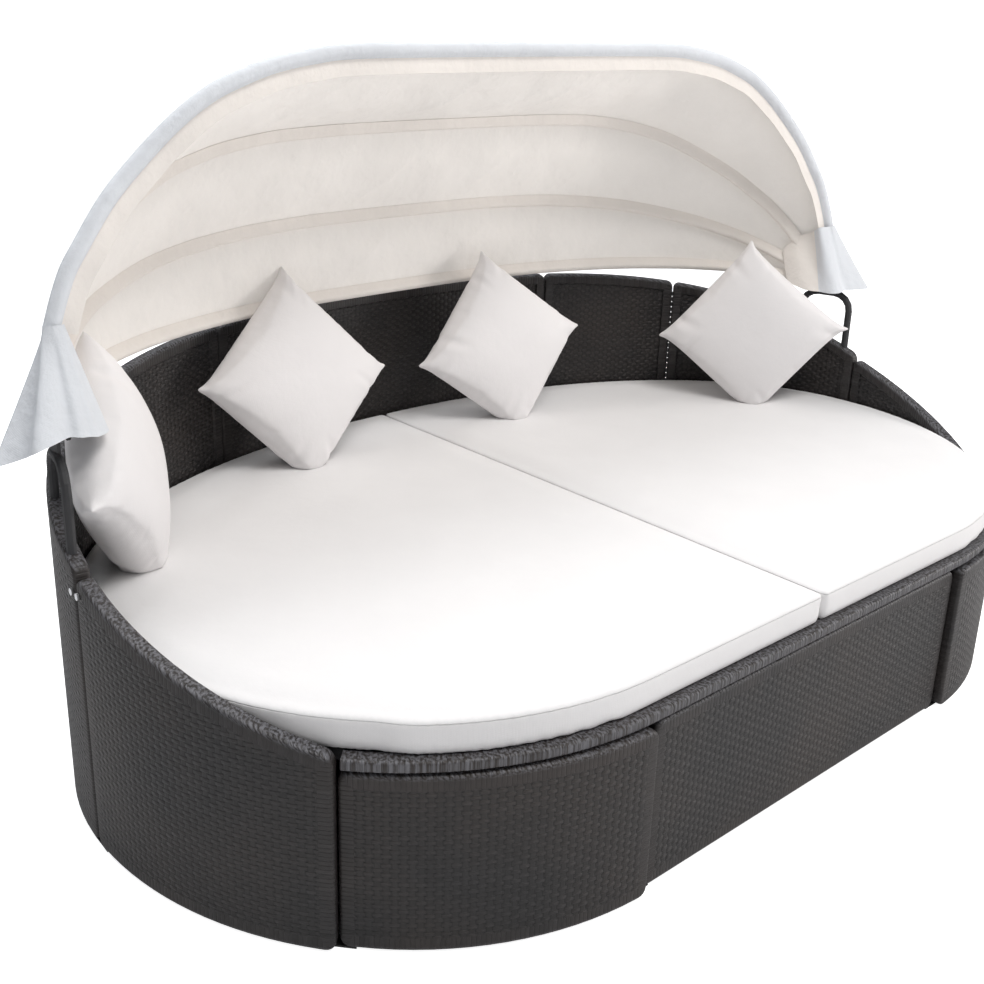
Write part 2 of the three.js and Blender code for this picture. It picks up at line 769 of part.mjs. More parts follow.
// Leaves out the points of an outline that lie on a straight run
function bentPoints(points) {
  return points.filter((point, i) => {
    const before = points[(i + points.length - 1) % points.length].clone().sub(point);
    const after = points[(i + 1) % points.length].clone().sub(point);
    return Math.abs(before.cross(after)) > straight_limit * before.length() * after.length();
  });
}

function flatPlate(points, height, low) {
  const plate = new THREE.Shape(bentPoints(points));
  return new THREE.ExtrudeGeometry(plate, { depth: height, bevelEnabled: false }).translate(0, 0, low);
}

function slatGaps() {
  const inset = deck_inset + deck_frame_rail;
  const start = half_split + deck_frame_rail;
  const end = half_length - inset - slat_width;
  const pitch = (end - start + slat_width) / slat_gap_count;
  return Array.from({ length: slat_gap_count }, (_, i) => {
    const from = start + i * pitch;
    const across = [0, 0.5, 1].map((share) => from + share * (pitch - slat_width));
    const back = across.map((x) => new THREE.Vector2(x, backEdge(x, inset)));
    return [...back, ...across.map((x) => new THREE.Vector2(x, frontEdge(x, inset))).reverse()];
  });
}

const turned = (points, side) => points.map((p) => new THREE.Vector2(side * p.x, p.y));
const deck_frame_low = ledger_top + fit_gap;
const deck_sheet_low = deck_frame_low + deck_frame_height + fit_gap;

function seatFrame(side) {
  const plate = flatPlate(turned(halfOutline(deck_inset, half_split), side), deck_frame_height, deck_frame_low);
  const gap_height = deck_frame_height + 2 * cut_overrun;
  const low = deck_frame_low - cut_overrun;
  return cutFrom(plate, slatGaps().map((gap) => flatPlate(turned(gap, side), gap_height, low)));
}

function seatDeck(side) {
  return flatPlate(turned(halfOutline(deck_inset, half_split), side), deck_sheet, deck_sheet_low);
}

const beam_front = frontEdge(0, front_ledger_inset + ledger_width + fit_gap);
const beam_back = backEdge(0, ledger_inset + ledger_width + fit_gap);

function centreBeam() {
  const length = beam_back - beam_front;
  return box(beam_width, length, beam_height, 0, (beam_front + beam_back) / 2, ledger_top - beam_height / 2);
}

const first_post = beam_front + post_end_space;
const last_post = beam_back - post_end_space;
const post_places = [0, 0.5, 1].map((share) => mix(first_post, last_post, share));

// Beam under the split of the seat, welded on its posts
function centreTrestle() {
  const height = ledger_top - foot_height - beam_height / 2;
  const posts = post_places.map((y) => box(post_width, post_width, height, 0, y, foot_height + height / 2));
  return joined([centreBeam(), ...posts]);
}

function postFoot(y) {
  const height = foot_height - fit_gap;
  return box(post_foot_width, post_foot_width, height, 0, y, height / 2);
}

// Plan points of the seams between the panels and the direction of the wall there
function seamPlaces() {
  const middle = wall / 2;
  const at = (point, next) => ({ point, turn: Math.atan2(next.y - point.y, next.x - point.x) });
  const seams = [0, outer_seam, inner_seam, 180 - inner_seam, 180 - outer_seam, 180];
  const backs = seams.map((angle) => at(backPoint(angle, middle), backPoint(angle + 1, middle)));
  const fronts = sides.flatMap(({ side }) => [arm_end_angle, 90 - seam_look_ahead].map((angle) => {
    const inset = middle + middle_front_inset;
    return at(frontPoint(side, angle, inset), frontPoint(side, angle + seam_look_ahead, inset));
  }));
  return [...backs, ...fronts];
}

function seamFoot({ point, turn }) {
  const height = foot_height - fit_gap;
  return new THREE.BoxGeometry(foot_length, foot_depth, height).rotateZ(turn)
    .translate(point.x, point.y, height / 2);
}

// Narrow batten that lifts the rim off the front panels
function rimBatten() {
  const start = arm_end_angle + 2 * rim_end_turn;
  const run = frontRun(batten_inset, start, batten_span_count, straight_span_count);
  return plainRail(run, batten_width, front_top + fit_gap, rim_top - rim_height - fit_gap, fit_gap);
}

// Fasteners

// Dome-headed bolt whose head sits on a face and whose shank points along inward
function bolt(face, inward, sides_round) {
  const lift = face.clone().addScaledVector(inward, -fit_gap);
  const crown = lift.clone().addScaledVector(inward, -bolt_head_height);
  const head = bar(bolt_head_radius, crown, lift, sides_round);
  const shank_start = lift.clone().addScaledVector(inward, -bolt_head_height / 2);
  const shank = bar(bolt_radius, shank_start, lift.clone().addScaledVector(inward, bolt_depth), sides_round);
  return joined([head, shank]);
}

function boltBore(face, inward, sides_round) {
  const from = face.clone().addScaledVector(inward, -cut_overrun);
  const to = face.clone().addScaledVector(inward, bolt_depth + fit_gap);
  return bar(bolt_radius + fit_gap, from, to, sides_round);
}

// Faces of the two bolts beside each arm joint, on the outer side
function jointBoltFaces(side) {
  const z = arm_joint_top - joint_bolt_drop;
  const inward = new THREE.Vector3(-side, 0, 0);
  return [-1, 1].map((way) => ({
    way,
    face: new THREE.Vector3(side * half_length, widest_y + way * joint_bolt_offset, z),
    inward,
  }));
}

// Mattress halves

const cushion_levels = [
  { pull: mattress_round, z: rim_top + fit_gap },
  { pull: mattress_side_pull, z: rim_top + mattress_round / 2 },
  { pull: 0, z: rim_top + mattress_height / 2 },
  { pull: mattress_side_pull, z: mattress_top - mattress_round },
  { pull: mattress_round, z: mattress_top - mattress_crown },
  { pull: crown_run / 3, z: mattress_top - mattress_crown / 4 },
  { pull: crown_run, z: mattress_top },
];

// Inset of the mattress in front: level with the rim between the arms, and let in behind them
function mattressInset(x) {
  const arm_end = frontPoint(1, arm_end_angle, wall).x;
  const share = THREE.MathUtils.smoothstep(x, arm_end - 2 * arm_clearance, arm_end - arm_clearance);
  return mix(mattress_front_inset, wall + mattress_wall_gap, share);
}

function mattressRing(side, pull, z) {
  const inner = half_split + pull;
  const wall_inset = wall + mattress_wall_gap + pull;
  const across = mattress_shares.map((share) => mix(inner, half_length - wall_inset, share));
  const back = across.map((x) => [x, backEdge(x, wall_inset)]);
  const front = across.slice(0, -1).map((x) => [x, frontEdge(x, mattressInset(x) + pull)]).reverse();
  return [...back, ...front].map(([x, y]) => new THREE.Vector3(side * x, y, z));
}

function mattress(side) {
  return loft(cushion_levels.map(({ pull, z }) => mattressRing(side, pull, z)));
}

// Pillows: square, pinched at the corners, stood on one corner and leant back

function pillowForm() {
  const points = [];
  const index = {};
  const faces = [];
  const vertex = (i, j, face) => {
    const rim = i === 0 || j === 0 || i === pillow_cells || j === pillow_cells;
    const key = `${i} ${j} ${rim ? 0 : face}`;
    if (index[key] === undefined) {
      const u = Math.sin(((i / pillow_cells) - 0.5) * Math.PI);
      const v = Math.sin(((j / pillow_cells) - 0.5) * Math.PI);
      const full = ((1 - u * u) * (1 - v * v)) ** pillow_fullness;
      const half = pillow_half_side;
      const across = (u - v) / 2;
      const x = half * u - pillow_side_pull * u * (1 - v * v) - pillow_corner_drop * across * across;
      const z = half * v - pillow_side_pull * v * (1 - u * u) - pillow_corner_drop * across * across;
      index[key] = points.push(new THREE.Vector3(x, rim ? 0 : face * pillow_half_thickness * full, z)) - 1;
    }
    return index[key];
  };
  for (const face of [-1, 1]) {
    for (let i = 0; i < pillow_cells; i++) {
      for (let j = 0; j < pillow_cells; j++) {
        const corners = [[i, j], [i + 1, j], [i + 1, j + 1], [i, j + 1]];
        const [a, b, c, d] = corners.map(([across, up]) => vertex(across, up, face));
        if (face < 0) faces.push([a, b, c], [a, c, d]);
        else faces.push([a, c, b], [a, d, c]);
      }
    }
  }
  return bodyFrom(points, faces);
}

// Place in front of the back wall, by the share of the half length
function beforeBack(across_share, from_back) {
  const x = across_share * half_length;
  return { x, y: backEdge(x, wall) - from_back };
}

// Place beside the left hinge, inside the rear hoop and clear of the back wall
function besideHinge(from_hoop, behind, from_back) {
  const x = from_hoop - eyeAcross(rear_hoop);
  return { x, y: Math.min(hinge_y + behind, backEdge(x, wall) - from_back) };
}

const pillow_places = [
  {
    ...besideHinge(pillow_1_from_hoop, pillow_1_behind_hinge, pillow_1_from_back),
    turn: 67,
    lean: -13,
    roll: 0,
  },
  { ...beforeBack(-0.353, pillow_2_from_back), turn: -10, lean: -22, roll: 3 },
  { ...beforeBack(0.2139, pillow_3_from_back), turn: -15, lean: -20, roll: -8 },
  { ...beforeBack(0.7583, pillow_4_from_back), turn: -43, lean: -20, roll: -2 },
];

function pillow({ x, y, turn, lean, roll }) {
  const form = pillowForm().rotateY((45 + roll) * degree).rotateX(lean * degree).rotateZ(turn * degree);
  form.computeBoundingBox();
  const rest = mattress_top + fit_gap;
  form.translate(x, y, rest - pillow_sink - form.boundingBox.min.z);
  const room = 4 * pillow_half_side;
  return cutFrom(form, [box(room, room, room, x, y, rest - room / 2)]);
}

// Assembly

const arm_shapes = {};
const corner_shapes = {};
for (const { side, word } of sides) {
  const faces = jointBoltFaces(side);
  const bores = (way) => faces.filter((item) => item.way === way)
    .map((item) => boltBore(item.face, item.inward, bolt_sides));
  arm_shapes[word] = cutFrom(armPanel(side), bores(-1));
  const seam_from = side > 0 ? 0 : 180;
  const seam_to = side > 0 ? outer_seam : 180 - outer_seam;
  const sockets = [front_leg, rear_leg].map((leg) => legSocket(side, leg));
  corner_shapes[word] = cutFrom(backPanel(seam_from, seam_to, corner_span_count), [...bores(1), ...sockets]);
}

for (const { side, word } of sides) {
  addPart(`front_panel_${word}`, curvedFrontPanel(side), 'rattan');
  addPart(`arm_panel_${word}`, arm_shapes[word], 'rattan');
  addPart(`back_corner_${word}`, corner_shapes[word], 'rattan');
  const from = side > 0 ? outer_seam : 180 - outer_seam;
  const to = side > 0 ? inner_seam : 180 - inner_seam;
  addPart(`back_panel_${word}`, backPanel(from, to, back_side_span_count), 'rattan');
}
addPart('front_panel_middle', middleFrontPanel(), 'rattan');
addPart('back_panel_middle', backPanel(inner_seam, 180 - inner_seam, back_middle_span_count), 'rattan');
seamPlaces().forEach((spot, i) => addPart(`seam_foot_${i + 1}`, seamFoot(spot), 'foot_plastic'));

addPart('front_rim', frontRim(), 'rattan');
addPart('rim_batten', rimBatten(), 'foot_plastic');
addPart('front_ledger', frontLedger(), 'steel_dark');
addPart('centre_trestle', centreTrestle(), 'steel_dark');
post_places.forEach((y, i) => addPart(`trestle_foot_${i + 1}`, postFoot(y), 'foot_plastic'));

for (const { side, word } of sides) {
  addPart(`side_ledger_${word}`, sideLedger(side), 'steel_dark');
  addPart(`seat_frame_${word}`, seatFrame(side), 'steel_dark');
  addPart(`seat_deck_${word}`, seatDeck(side), 'deck_web');
  jointBoltFaces(side).forEach((item) => {
    const panel = item.way < 0 ? 'arm' : 'corner';
    addPart(`${panel}_bolt_${word}`, bolt(item.face, item.inward, bolt_sides), 'bolt_steel');
  });
  addPart(`canopy_bracket_${word}`, bracket(side), 'steel_dark');
  addPart(`hinge_pin_${word}`, hingePin(side), 'bolt_steel');
  addPart(`hinge_nut_${word}`, hingeNut(side), 'bolt_steel');
  addPart(`canopy_flap_${word}`, flap(side), 'canvas');
  addPart(`mattress_${word}`, mattress(side), 'cushion_cloth');
}

addHoop('hoop_front', front_hoop);
addHoop('hoop_second', second_hoop);
addHoop('hoop_third', third_hoop);
addHoop('hoop_rear', rear_hoop);
addPart('canopy_front_band', frontBand(), 'canvas');
addPart('canopy_cloth_front', gore(front_hoop, second_hoop), 'canvas');
addPart('canopy_cloth_middle', gore(second_hoop, third_hoop), 'canvas');
addPart('canopy_cloth_rear', gore(third_hoop, rear_hoop), 'canvas');

pillow_places.forEach((spot, i) => addPart(`pillow_${i + 1}`, pillow(spot), 'cushion_cloth'));

export default model;
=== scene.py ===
"""Outdoor daybed with canopy: woven panels, split mattress, pillows and canvas on folding hoops."""

import json
import math

import bmesh
import bpy
import numpy as np
from bpy.props import FloatProperty, FloatVectorProperty, PointerProperty
from mathutils import Matrix, Vector


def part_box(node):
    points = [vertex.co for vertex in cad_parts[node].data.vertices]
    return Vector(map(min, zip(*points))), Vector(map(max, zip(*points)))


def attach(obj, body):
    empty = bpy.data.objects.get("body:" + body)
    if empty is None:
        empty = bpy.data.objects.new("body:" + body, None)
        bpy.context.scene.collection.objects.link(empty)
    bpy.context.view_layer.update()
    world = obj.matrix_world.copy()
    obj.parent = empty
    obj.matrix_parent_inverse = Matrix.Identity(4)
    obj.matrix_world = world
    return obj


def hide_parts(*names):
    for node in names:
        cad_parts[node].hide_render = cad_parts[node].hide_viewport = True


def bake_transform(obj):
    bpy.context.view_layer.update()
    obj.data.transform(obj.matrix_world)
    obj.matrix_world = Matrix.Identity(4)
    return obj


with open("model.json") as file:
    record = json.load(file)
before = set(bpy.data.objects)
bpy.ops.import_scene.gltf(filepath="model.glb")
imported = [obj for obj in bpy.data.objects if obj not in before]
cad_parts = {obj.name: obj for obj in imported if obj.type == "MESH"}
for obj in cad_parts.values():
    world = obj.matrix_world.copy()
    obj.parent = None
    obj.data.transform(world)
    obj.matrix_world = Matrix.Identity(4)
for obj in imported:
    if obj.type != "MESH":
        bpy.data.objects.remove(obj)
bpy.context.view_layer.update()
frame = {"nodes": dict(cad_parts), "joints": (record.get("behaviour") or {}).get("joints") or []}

bl_info = {
    "name": "Oval daybed with canopy",
    "version": (1, 0, 0),
    "blender": (4, 5, 0),
    "location": "3D View > Sidebar > Daybed",
    "description": "Woven oval daybed with a split mattress, pillows and a folding canopy",
    "category": "Object",
}

MM = 0.001
ON_REST = 0.3 * MM
SEAM_TURN_HEIGHT = 10.5 * MM
SEAM_TURN_PITCH = 15.5 * MM
HINGE = Vector(frame["joints"][0]["pos_m"])
SIDES = ((-1, "left"), (1, "right"))
BACK_ROUNDNESS = 2.1
CREST_POWER = 1.55
ARM_END_ANGLE = 44
RIM_END_TURN = 0.6
OUTER_SEAM_SHARE = 0.783
INNER_SEAM_SHARE = 0.47

# Angle back from upright, reach from the hinge, place of the eye across and likeness to the rear hoop
HOOPS = {
    "front": (6.2, 0.616, 1.14339, 0),
    "second": (38.1, 0.568, 1.09939, 0.25),
    "third": (65.3, 0.546, 1.07739, 0.65),
    "rear": (86.6, 0.530, 1.05539, 1),
}
HOOP_OUTLINE_SHARES = (
    (1, 0, 0), (1, 0.036, 0.036), (0.99, 0.1, 0.17), (0.976, 0.21, 0.28), (0.962, 0.302, 0.34),
    (0.934, 0.422, 0.432), (0.906, 0.497, 0.5), (0.862, 0.601, 0.583), (0.818, 0.682, 0.649),
    (0.742, 0.799, 0.738), (0.673, 0.88, 0.8), (0.609, 0.927, 0.846), (0.551, 0.959, 0.88),
    (0.479, 0.982, 0.915), (0.398, 0.996, 0.946), (0.2, 1, 0.989),
)

# Half width of a pocket, its lap in front of the tube and its depth
POCKET = (14 * MM, 19 * MM, 24 * MM)

# Run of the front hoop that each flap covers, and its hem: across from the lug, behind the hinge, height
FLAP_RUNS = {-1: 0.190, 1: 0.152}
FLAP_HEMS = {
    -1: (
        (47, 89, 716), (64, 40, 710), (101, 7, 702), (70, -30, 718), (61, -82, 743), (8, -75, 752), (-30, -66, 747),
        (-66, -50, 736), (-90, 0, 733),
    ),
    1: (
        (47, 89, 716), (64, 40, 716), (101, 7, 716), (69, -31, 716), (60, -82, 717), (6, -75, 718),
        (-39, -74, 720), (-76, -71, 717), (-91, -33, 716), (-97, 17, 720), (-101, 67, 734),
    ),
}

# Place across, place behind the widest line, turn, lean, roll, side, half thickness, crushed height of the corner
# that it stands on, and seed of its folds
PILLOWS = (
    (-0.962, 0.224, 57, -11, 4.7, 0.391, 0.069, 0.092, 3),
    (-0.381, 0.517, 1.8, -17, 3.5, 0.392, 0.068, 0.072, 11),
    (0.244, 0.491, -10.6, -15.7, -6.3, 0.378, 0.058, 0.078, 23),
    (0.894, 0.177, -50.3, -12.1, -5.0, 0.375, 0.061, 0.077, 31),
)


def length(name, description, millimetres):
    return FloatProperty(name=name, description=description, default=millimetres * MM, unit="LENGTH")


def colour(name, description, red, green, blue):
    return FloatVectorProperty(
        name=name, description=description, default=(red, green, blue, 1), size=4, min=0, max=1, subtype="COLOR"
    )


class DaybedSizes(bpy.types.PropertyGroup):
    """Sizes of the daybed"""

    half_length: FloatProperty(
        name="Half length", description="From the middle to the widest point of the wall",
        default=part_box("back_corner_right")[1].x, unit="LENGTH",
    )
    widest_y: length("Widest line", "Place along Y of the widest line of the oval", -22.5)
    front_depth: length("Front depth", "From the widest line to the front", 675)
    back_depth: length("Back depth", "From the widest line to the back", 720)
    straight_half: length("Straight half", "Half length of the straight front", 470)
    wall: length("Wall", "Thickness of the woven panels", 30)
    edge_radius: length("Edge radius", "Rounding of the panel edges", 7)
    panel_corner: length("Panel corner", "Rounding of the panel corners", 18)
    border_width: length("Border width", "Width of the wrapped border of a panel", 26)
    field_recess: length("Field recess", "How far the woven field is let in", 4)
    recess_slope: length("Recess slope", "Width of the step beside the woven field", 3)
    seam_gap: length("Seam gap", "Gap between two panels", 2.4)
    middle_gap: length("Middle gap", "Groove at each end of the middle front panel", 5)
    front_inset: length("Front inset", "How far the front panels stand back under the rim", 14)
    foot_height: length("Foot height", "Height of the feet under the panels", 4)
    front_top: length("Front top", "Height of the front panels", 325)
    arm_end_top: length("Arm end", "Height of the arm at its front end", 356)
    arm_joint_top: length("Arm joint", "Height of the arm at its back end", 528)
    corner_joint_top: length("Corner joint", "Height of the back at the arm", 538)
    back_crest_top: length("Back crest", "Height of the back in the middle", 745)
    station: length("Station", "Distance between two cuts along a bent panel", 32)
    rim_top: length("Rim top", "Height of the front rim", 350)
    rim_height: length("Rim height", "Thickness of the front rim", 20)
    rim_width: length("Rim width", "Depth of the front rim", 32)
    rim_inset: length("Rim inset", "How far the front rim stands back from the outline", 10)
    rim_edge: length("Rim edge", "Rounding of the front rim", 6)
    mattress_height: length("Mattress height", "Thickness of the mattress", 60)
    mattress_front_inset: length("Mattress inset", "How far the mattress stands back in front", 26)
    mattress_wall_gap: length("Mattress gap", "Space between mattress and wall", 5)
    mattress_split: length("Mattress split", "Half of the gap between the mattress halves", 3)
    mattress_edge: length("Mattress edge", "Rounding of the mattress edges", 5)
    arm_clearance: length("Arm clearance", "Run over which the mattress is let in behind the arm", 40)
    pillow_scale: FloatProperty(name="Pillow scale", description="Size of the pillows against the usual", default=1)
    hoop_radius: length("Hoop radius", "Radius of the canopy tubes", 8)
    cloth: length("Cloth", "Thickness of the canopy cloth", 1.4)
    cloth_offset: length("Cloth offset", "From the middle of a tube to the cloth over it", 12.2)
    cloth_slack: FloatProperty(
        name="Cloth slack", description="Depth of the sag between two hoops against their distance", default=0.085,
    )
    gore_end_run: length("Cloth end", "Run of bare tube between the eye and the cloth", 64)
    stake_pitch: length("Stake pitch", "Distance between two upright stakes of the weave", 13.5)
    strip_pitch: length("Strip pitch", "Distance between two strips of the weave", 8.5)
    wrap_pitch: length("Wrap pitch", "Width of the strip wrapped round the borders", 8)


class DaybedColours(bpy.types.PropertyGroup):
    """Colours of the daybed"""

    strips: colour("Strips", "Flat woven strips", 0.0190, 0.0174, 0.0178)
    strips_brown: colour("Brown strips", "Warmer patches in the weave", 0.046, 0.036, 0.031)
    # Worn strips: scuffed wrapping, and also a painted sheen that lightens the top edges and the rim
    strips_worn: colour("Worn strips", "Scuffed wrapping along the edges", 0.17, 0.17, 0.185)
    strips_deep: colour("Deep strips", "Shade between the strips", 0.0012, 0.0012, 0.0012)
    frame_paint: colour("Frame paint", "Powder coat of the tubes", 0.020, 0.020, 0.022)
    zinc: colour("Zinc", "Bolts, pins and nuts", 0.58, 0.59, 0.60)
    feet: colour("Feet", "Moulded feet", 0.012, 0.012, 0.012)
    webbing: colour("Webbing", "Seat webbing", 0.035, 0.030, 0.028)
    canvas_outside: colour("Canvas outside", "Outer face of the canopy", 0.74, 0.765, 0.80)
    canvas_inside: colour("Canvas inside", "Inner face of the canopy", 0.82, 0.79, 0.755)
    cushion: colour("Cushion", "Mattress cover", 0.86, 0.85, 0.85)
    pillow: colour("Pillow", "Pillow covers", 0.83, 0.81, 0.81)
    floor: colour("Floor", "Studio floor", 0.90, 0.90, 0.91)


def sizes():
    return bpy.context.scene.daybed_sizes


def colours():
    return bpy.context.scene.daybed_colours


# Editing by hand


def put_down():
    if bpy.context.object is not None and bpy.context.object.mode != "OBJECT":
        bpy.ops.object.mode_set(mode="OBJECT")
    bpy.ops.object.select_all(action="DESELECT")


def take(obj):
    put_down()
    obj.select_set(True)
    bpy.context.view_layer.objects.active = obj
    return obj


def edit(obj, elements="FACE"):
    take(obj)
    bpy.ops.object.mode_set(mode="EDIT")
    bpy.ops.mesh.select_mode(type=elements)


def edit_all(obj):
    edit(obj)
    bpy.ops.mesh.select_all(action="SELECT")


def pick(obj, kind, wanted):
    """Selects the vertices, edges or faces of the mesh in edit mode that pass a test."""
    form = bmesh.from_edit_mesh(obj.data)
    for item in form.faces[:] + form.edges[:] + form.verts[:]:
        item.select = False
    for item in getattr(form, kind):
        if wanted(item):
            item.select_set(True)
    bmesh.update_edit_mesh(obj.data)


def added(name):
    obj = bpy.context.object
    obj.name = name
    obj.data.name = name
    return obj


def apply_modifier(obj, kind, **settings):
    take(obj)
    modifier = obj.modifiers.new(kind.title(), kind)
    for key, value in settings.items():
        setattr(modifier, key, value)
    bpy.ops.object.modifier_apply(modifier=modifier.name)


def apply_place(obj):
    take(obj)
    bpy.ops.object.transform_apply(location=True, rotation=True, scale=True)


def face_outwards(obj):
    edit_all(obj)
    bpy.ops.mesh.normals_make_consistent(inside=False)
    put_down()


def smooth(obj, angle=40):
    take(obj)
    bpy.ops.object.shade_smooth_by_angle(angle=math.radians(angle))
    put_down()


def points_of(obj):
    flat = np.empty(len(obj.data.vertices) * 3)
    obj.data.vertices.foreach_get("co", flat)
    return flat.reshape(-1, 3)


def move_points(obj, points):
    obj.data.vertices.foreach_set("co", np.asarray(points, float).ravel())
    obj.data.update()


def paint_map(obj, name, values):
    """Keeps two lengths for each vertex as a map that a pattern can follow."""
    layer = obj.data.uv_layers.get(name) or obj.data.uv_layers.new(name=name)
    corners = np.empty(len(obj.data.loops), int)
    obj.data.loops.foreach_get("vertex_index", corners)
    layer.data.foreach_set("uv", np.asarray(values, float)[corners].ravel())


def give(obj, *materials):
    obj.data.materials.clear()
    for material in materials:
        obj.data.materials.append(material)


def ready(obj, body, stands_for=None):
    """Says which body a finished piece rides with, and the CAD node that it stands for."""
    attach(obj, body)
    if stands_for:
        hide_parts(stands_for)


# Plan of the oval


def back_point(angle, inset):
    share = 2 / BACK_ROUNDNESS
    turn = np.radians(angle)
    across = (sizes().half_length - inset) * np.sign(np.cos(turn)) * np.abs(np.cos(turn)) ** share
    return across, sizes().widest_y + (sizes().back_depth - inset) * np.abs(np.sin(turn)) ** share


def front_point(side, angle, inset):
    turn = np.radians(angle)
    across = sizes().straight_half + (sizes().half_length - sizes().straight_half - inset) * np.cos(turn)
    return side * across, sizes().widest_y - (sizes().front_depth - inset) * np.sin(turn)


def back_edge(x, inset):
    share = np.minimum(np.abs(x) / (sizes().half_length - inset), 1)
    rise = (1 - share ** BACK_ROUNDNESS) ** (1 / BACK_ROUNDNESS)
    return sizes().widest_y + (sizes().back_depth - inset) * rise


def front_edge(x, inset):
    run = np.maximum(np.abs(x) - sizes().straight_half, 0) / (sizes().half_length - sizes().straight_half - inset)
    return sizes().widest_y - (sizes().front_depth - inset) * np.sqrt(np.maximum(1 - run * run, 0))


def mix(a, b, share):
    return a + (b - a) * share


def unit(value):
    """Value kept from 0 to 1."""
    return np.clip(value, 0, 1)


def eased(share):
    """Share that starts and ends gently."""
    return share * share * (3 - 2 * share)


def level(height):
    """Line of one height, by share."""
    return lambda k: np.full_like(k, height)


def back_angle(share):
    return math.degrees(math.acos(share ** (BACK_ROUNDNESS / 2)))


def back_top(angle):
    rise = 1 - (1 - np.sin(np.radians(angle))) ** CREST_POWER
    return mix(sizes().corner_joint_top, sizes().back_crest_top, rise)


def arm_top(angle):
    fall = np.sin(np.radians(angle)) / math.sin(math.radians(ARM_END_ANGLE))
    return mix(sizes().arm_joint_top, sizes().arm_end_top, fall)


# Woven panels


def panel_plans():
    """Name, plan, top and inset of each woven panel by the share of its run, and the gap at its ends."""
    size = sizes()
    outer, inner = back_angle(OUTER_SEAM_SHARE), back_angle(INNER_SEAM_SHARE)
    flat_top, flush = level(size.front_top), level(0)
    plans = []

    def back(name, start, end):
        plans.append((
            name, lambda k, inset: back_point(mix(start, end, k), inset), lambda k: back_top(mix(start, end, k)),
            flush, size.seam_gap,
        ))

    for side, word in SIDES:
        turned = (lambda angle: angle) if side > 0 else (lambda angle: 180 - angle)
        back("back_corner_" + word, turned(0), turned(outer))
        back("back_panel_" + word, turned(outer), turned(inner))
        plans.append((
            "arm_panel_" + word, lambda k, inset, side=side: front_point(side, mix(0, ARM_END_ANGLE, k), inset),
            lambda k: arm_top(mix(0, ARM_END_ANGLE, k)), flush, size.seam_gap,
        ))
        plans.append((
            "front_panel_" + word, lambda k, inset, side=side: front_point(side, mix(ARM_END_ANGLE, 90, k), inset),
            flat_top, lambda k: size.front_inset * (1 - k), size.seam_gap,
        ))
    back("back_panel_middle", inner, 180 - inner)
    plans.append((
        "front_panel_middle",
        lambda k, inset: (mix(-size.straight_half, size.straight_half, k), front_edge(0, inset) + 0 * k),
        flat_top, level(size.front_inset), 2 * size.middle_gap,
    ))
    return plans


def run_table(plan, inset):
    """Shares of a plan curve and the length of its outer face up to each."""
    shares = np.linspace(0, 1, 241)
    x, y = plan(shares, inset(shares))
    steps = np.hypot(np.diff(x), np.diff(y))
    return shares, np.concatenate([[0], np.cumsum(steps)])


def cut(axis, places):
    """Cuts the mesh in edit mode right through at each place along an axis."""
    for place in places:
        bpy.ops.mesh.select_all(action="SELECT")
        bpy.ops.mesh.bisect(plane_co=Vector(axis) * place, plane_no=axis)


def round_outline(obj, offset, segments, direction=None):
    """Rounds the sharp edges of a blank, or only those that run one way."""
    def wanted(edge):
        if len(edge.link_faces) != 2 or edge.calc_face_angle(0) < math.radians(60):
            return False
        run = (edge.verts[0].co - edge.verts[1].co).normalized()
        return direction is None or abs(run.dot(direction)) > 0.99

    pick(obj, "edges", wanted)
    bpy.ops.mesh.bevel(offset=offset, offset_type="OFFSET", segments=segments, affect="EDGES")


def flat_blank(name, run, depth, height):
    bpy.ops.mesh.primitive_cube_add(size=1, location=(run / 2, depth / 2, height / 2))
    obj = added(name)
    obj.scale = (run, depth, height)
    apply_place(obj)
    return obj


def woven_blank(name, run, height):
    """Flat panel with rounded corners and edges, a wrapped border and the field let in on the inner face."""
    size = sizes()
    obj = flat_blank(name, run, size.wall, height)
    edit(obj, "EDGE")
    round_outline(obj, size.panel_corner, 5, Vector((0, 1, 0)))
    pick(obj, "edges", lambda edge: len(edge.link_faces) == 2 and edge.calc_face_angle(0) > math.radians(80))
    bpy.ops.mesh.bevel(offset=size.edge_radius, offset_type="OFFSET", segments=4, affect="EDGES")
    count = max(int(run / size.station), 4)
    cut((1, 0, 0), [size.border_width, run - size.border_width])
    cut((1, 0, 0), np.linspace(size.border_width, run - size.border_width, count + 1)[1:-1])
    cut((0, 0, 1), [size.border_width, height - size.border_width])
    bpy.ops.mesh.select_mode(type="FACE")
    slack = 0.1 * MM

    def in_field(face):
        middle = face.calc_center_median()
        return (
            middle.y > size.wall - slack
            and size.border_width < middle.x < run - size.border_width
            and size.border_width < middle.z < height - size.border_width
        )

    pick(obj, "faces", in_field)
    bpy.ops.mesh.inset(thickness=size.recess_slope, depth=-size.field_recess)
    put_down()
    return obj


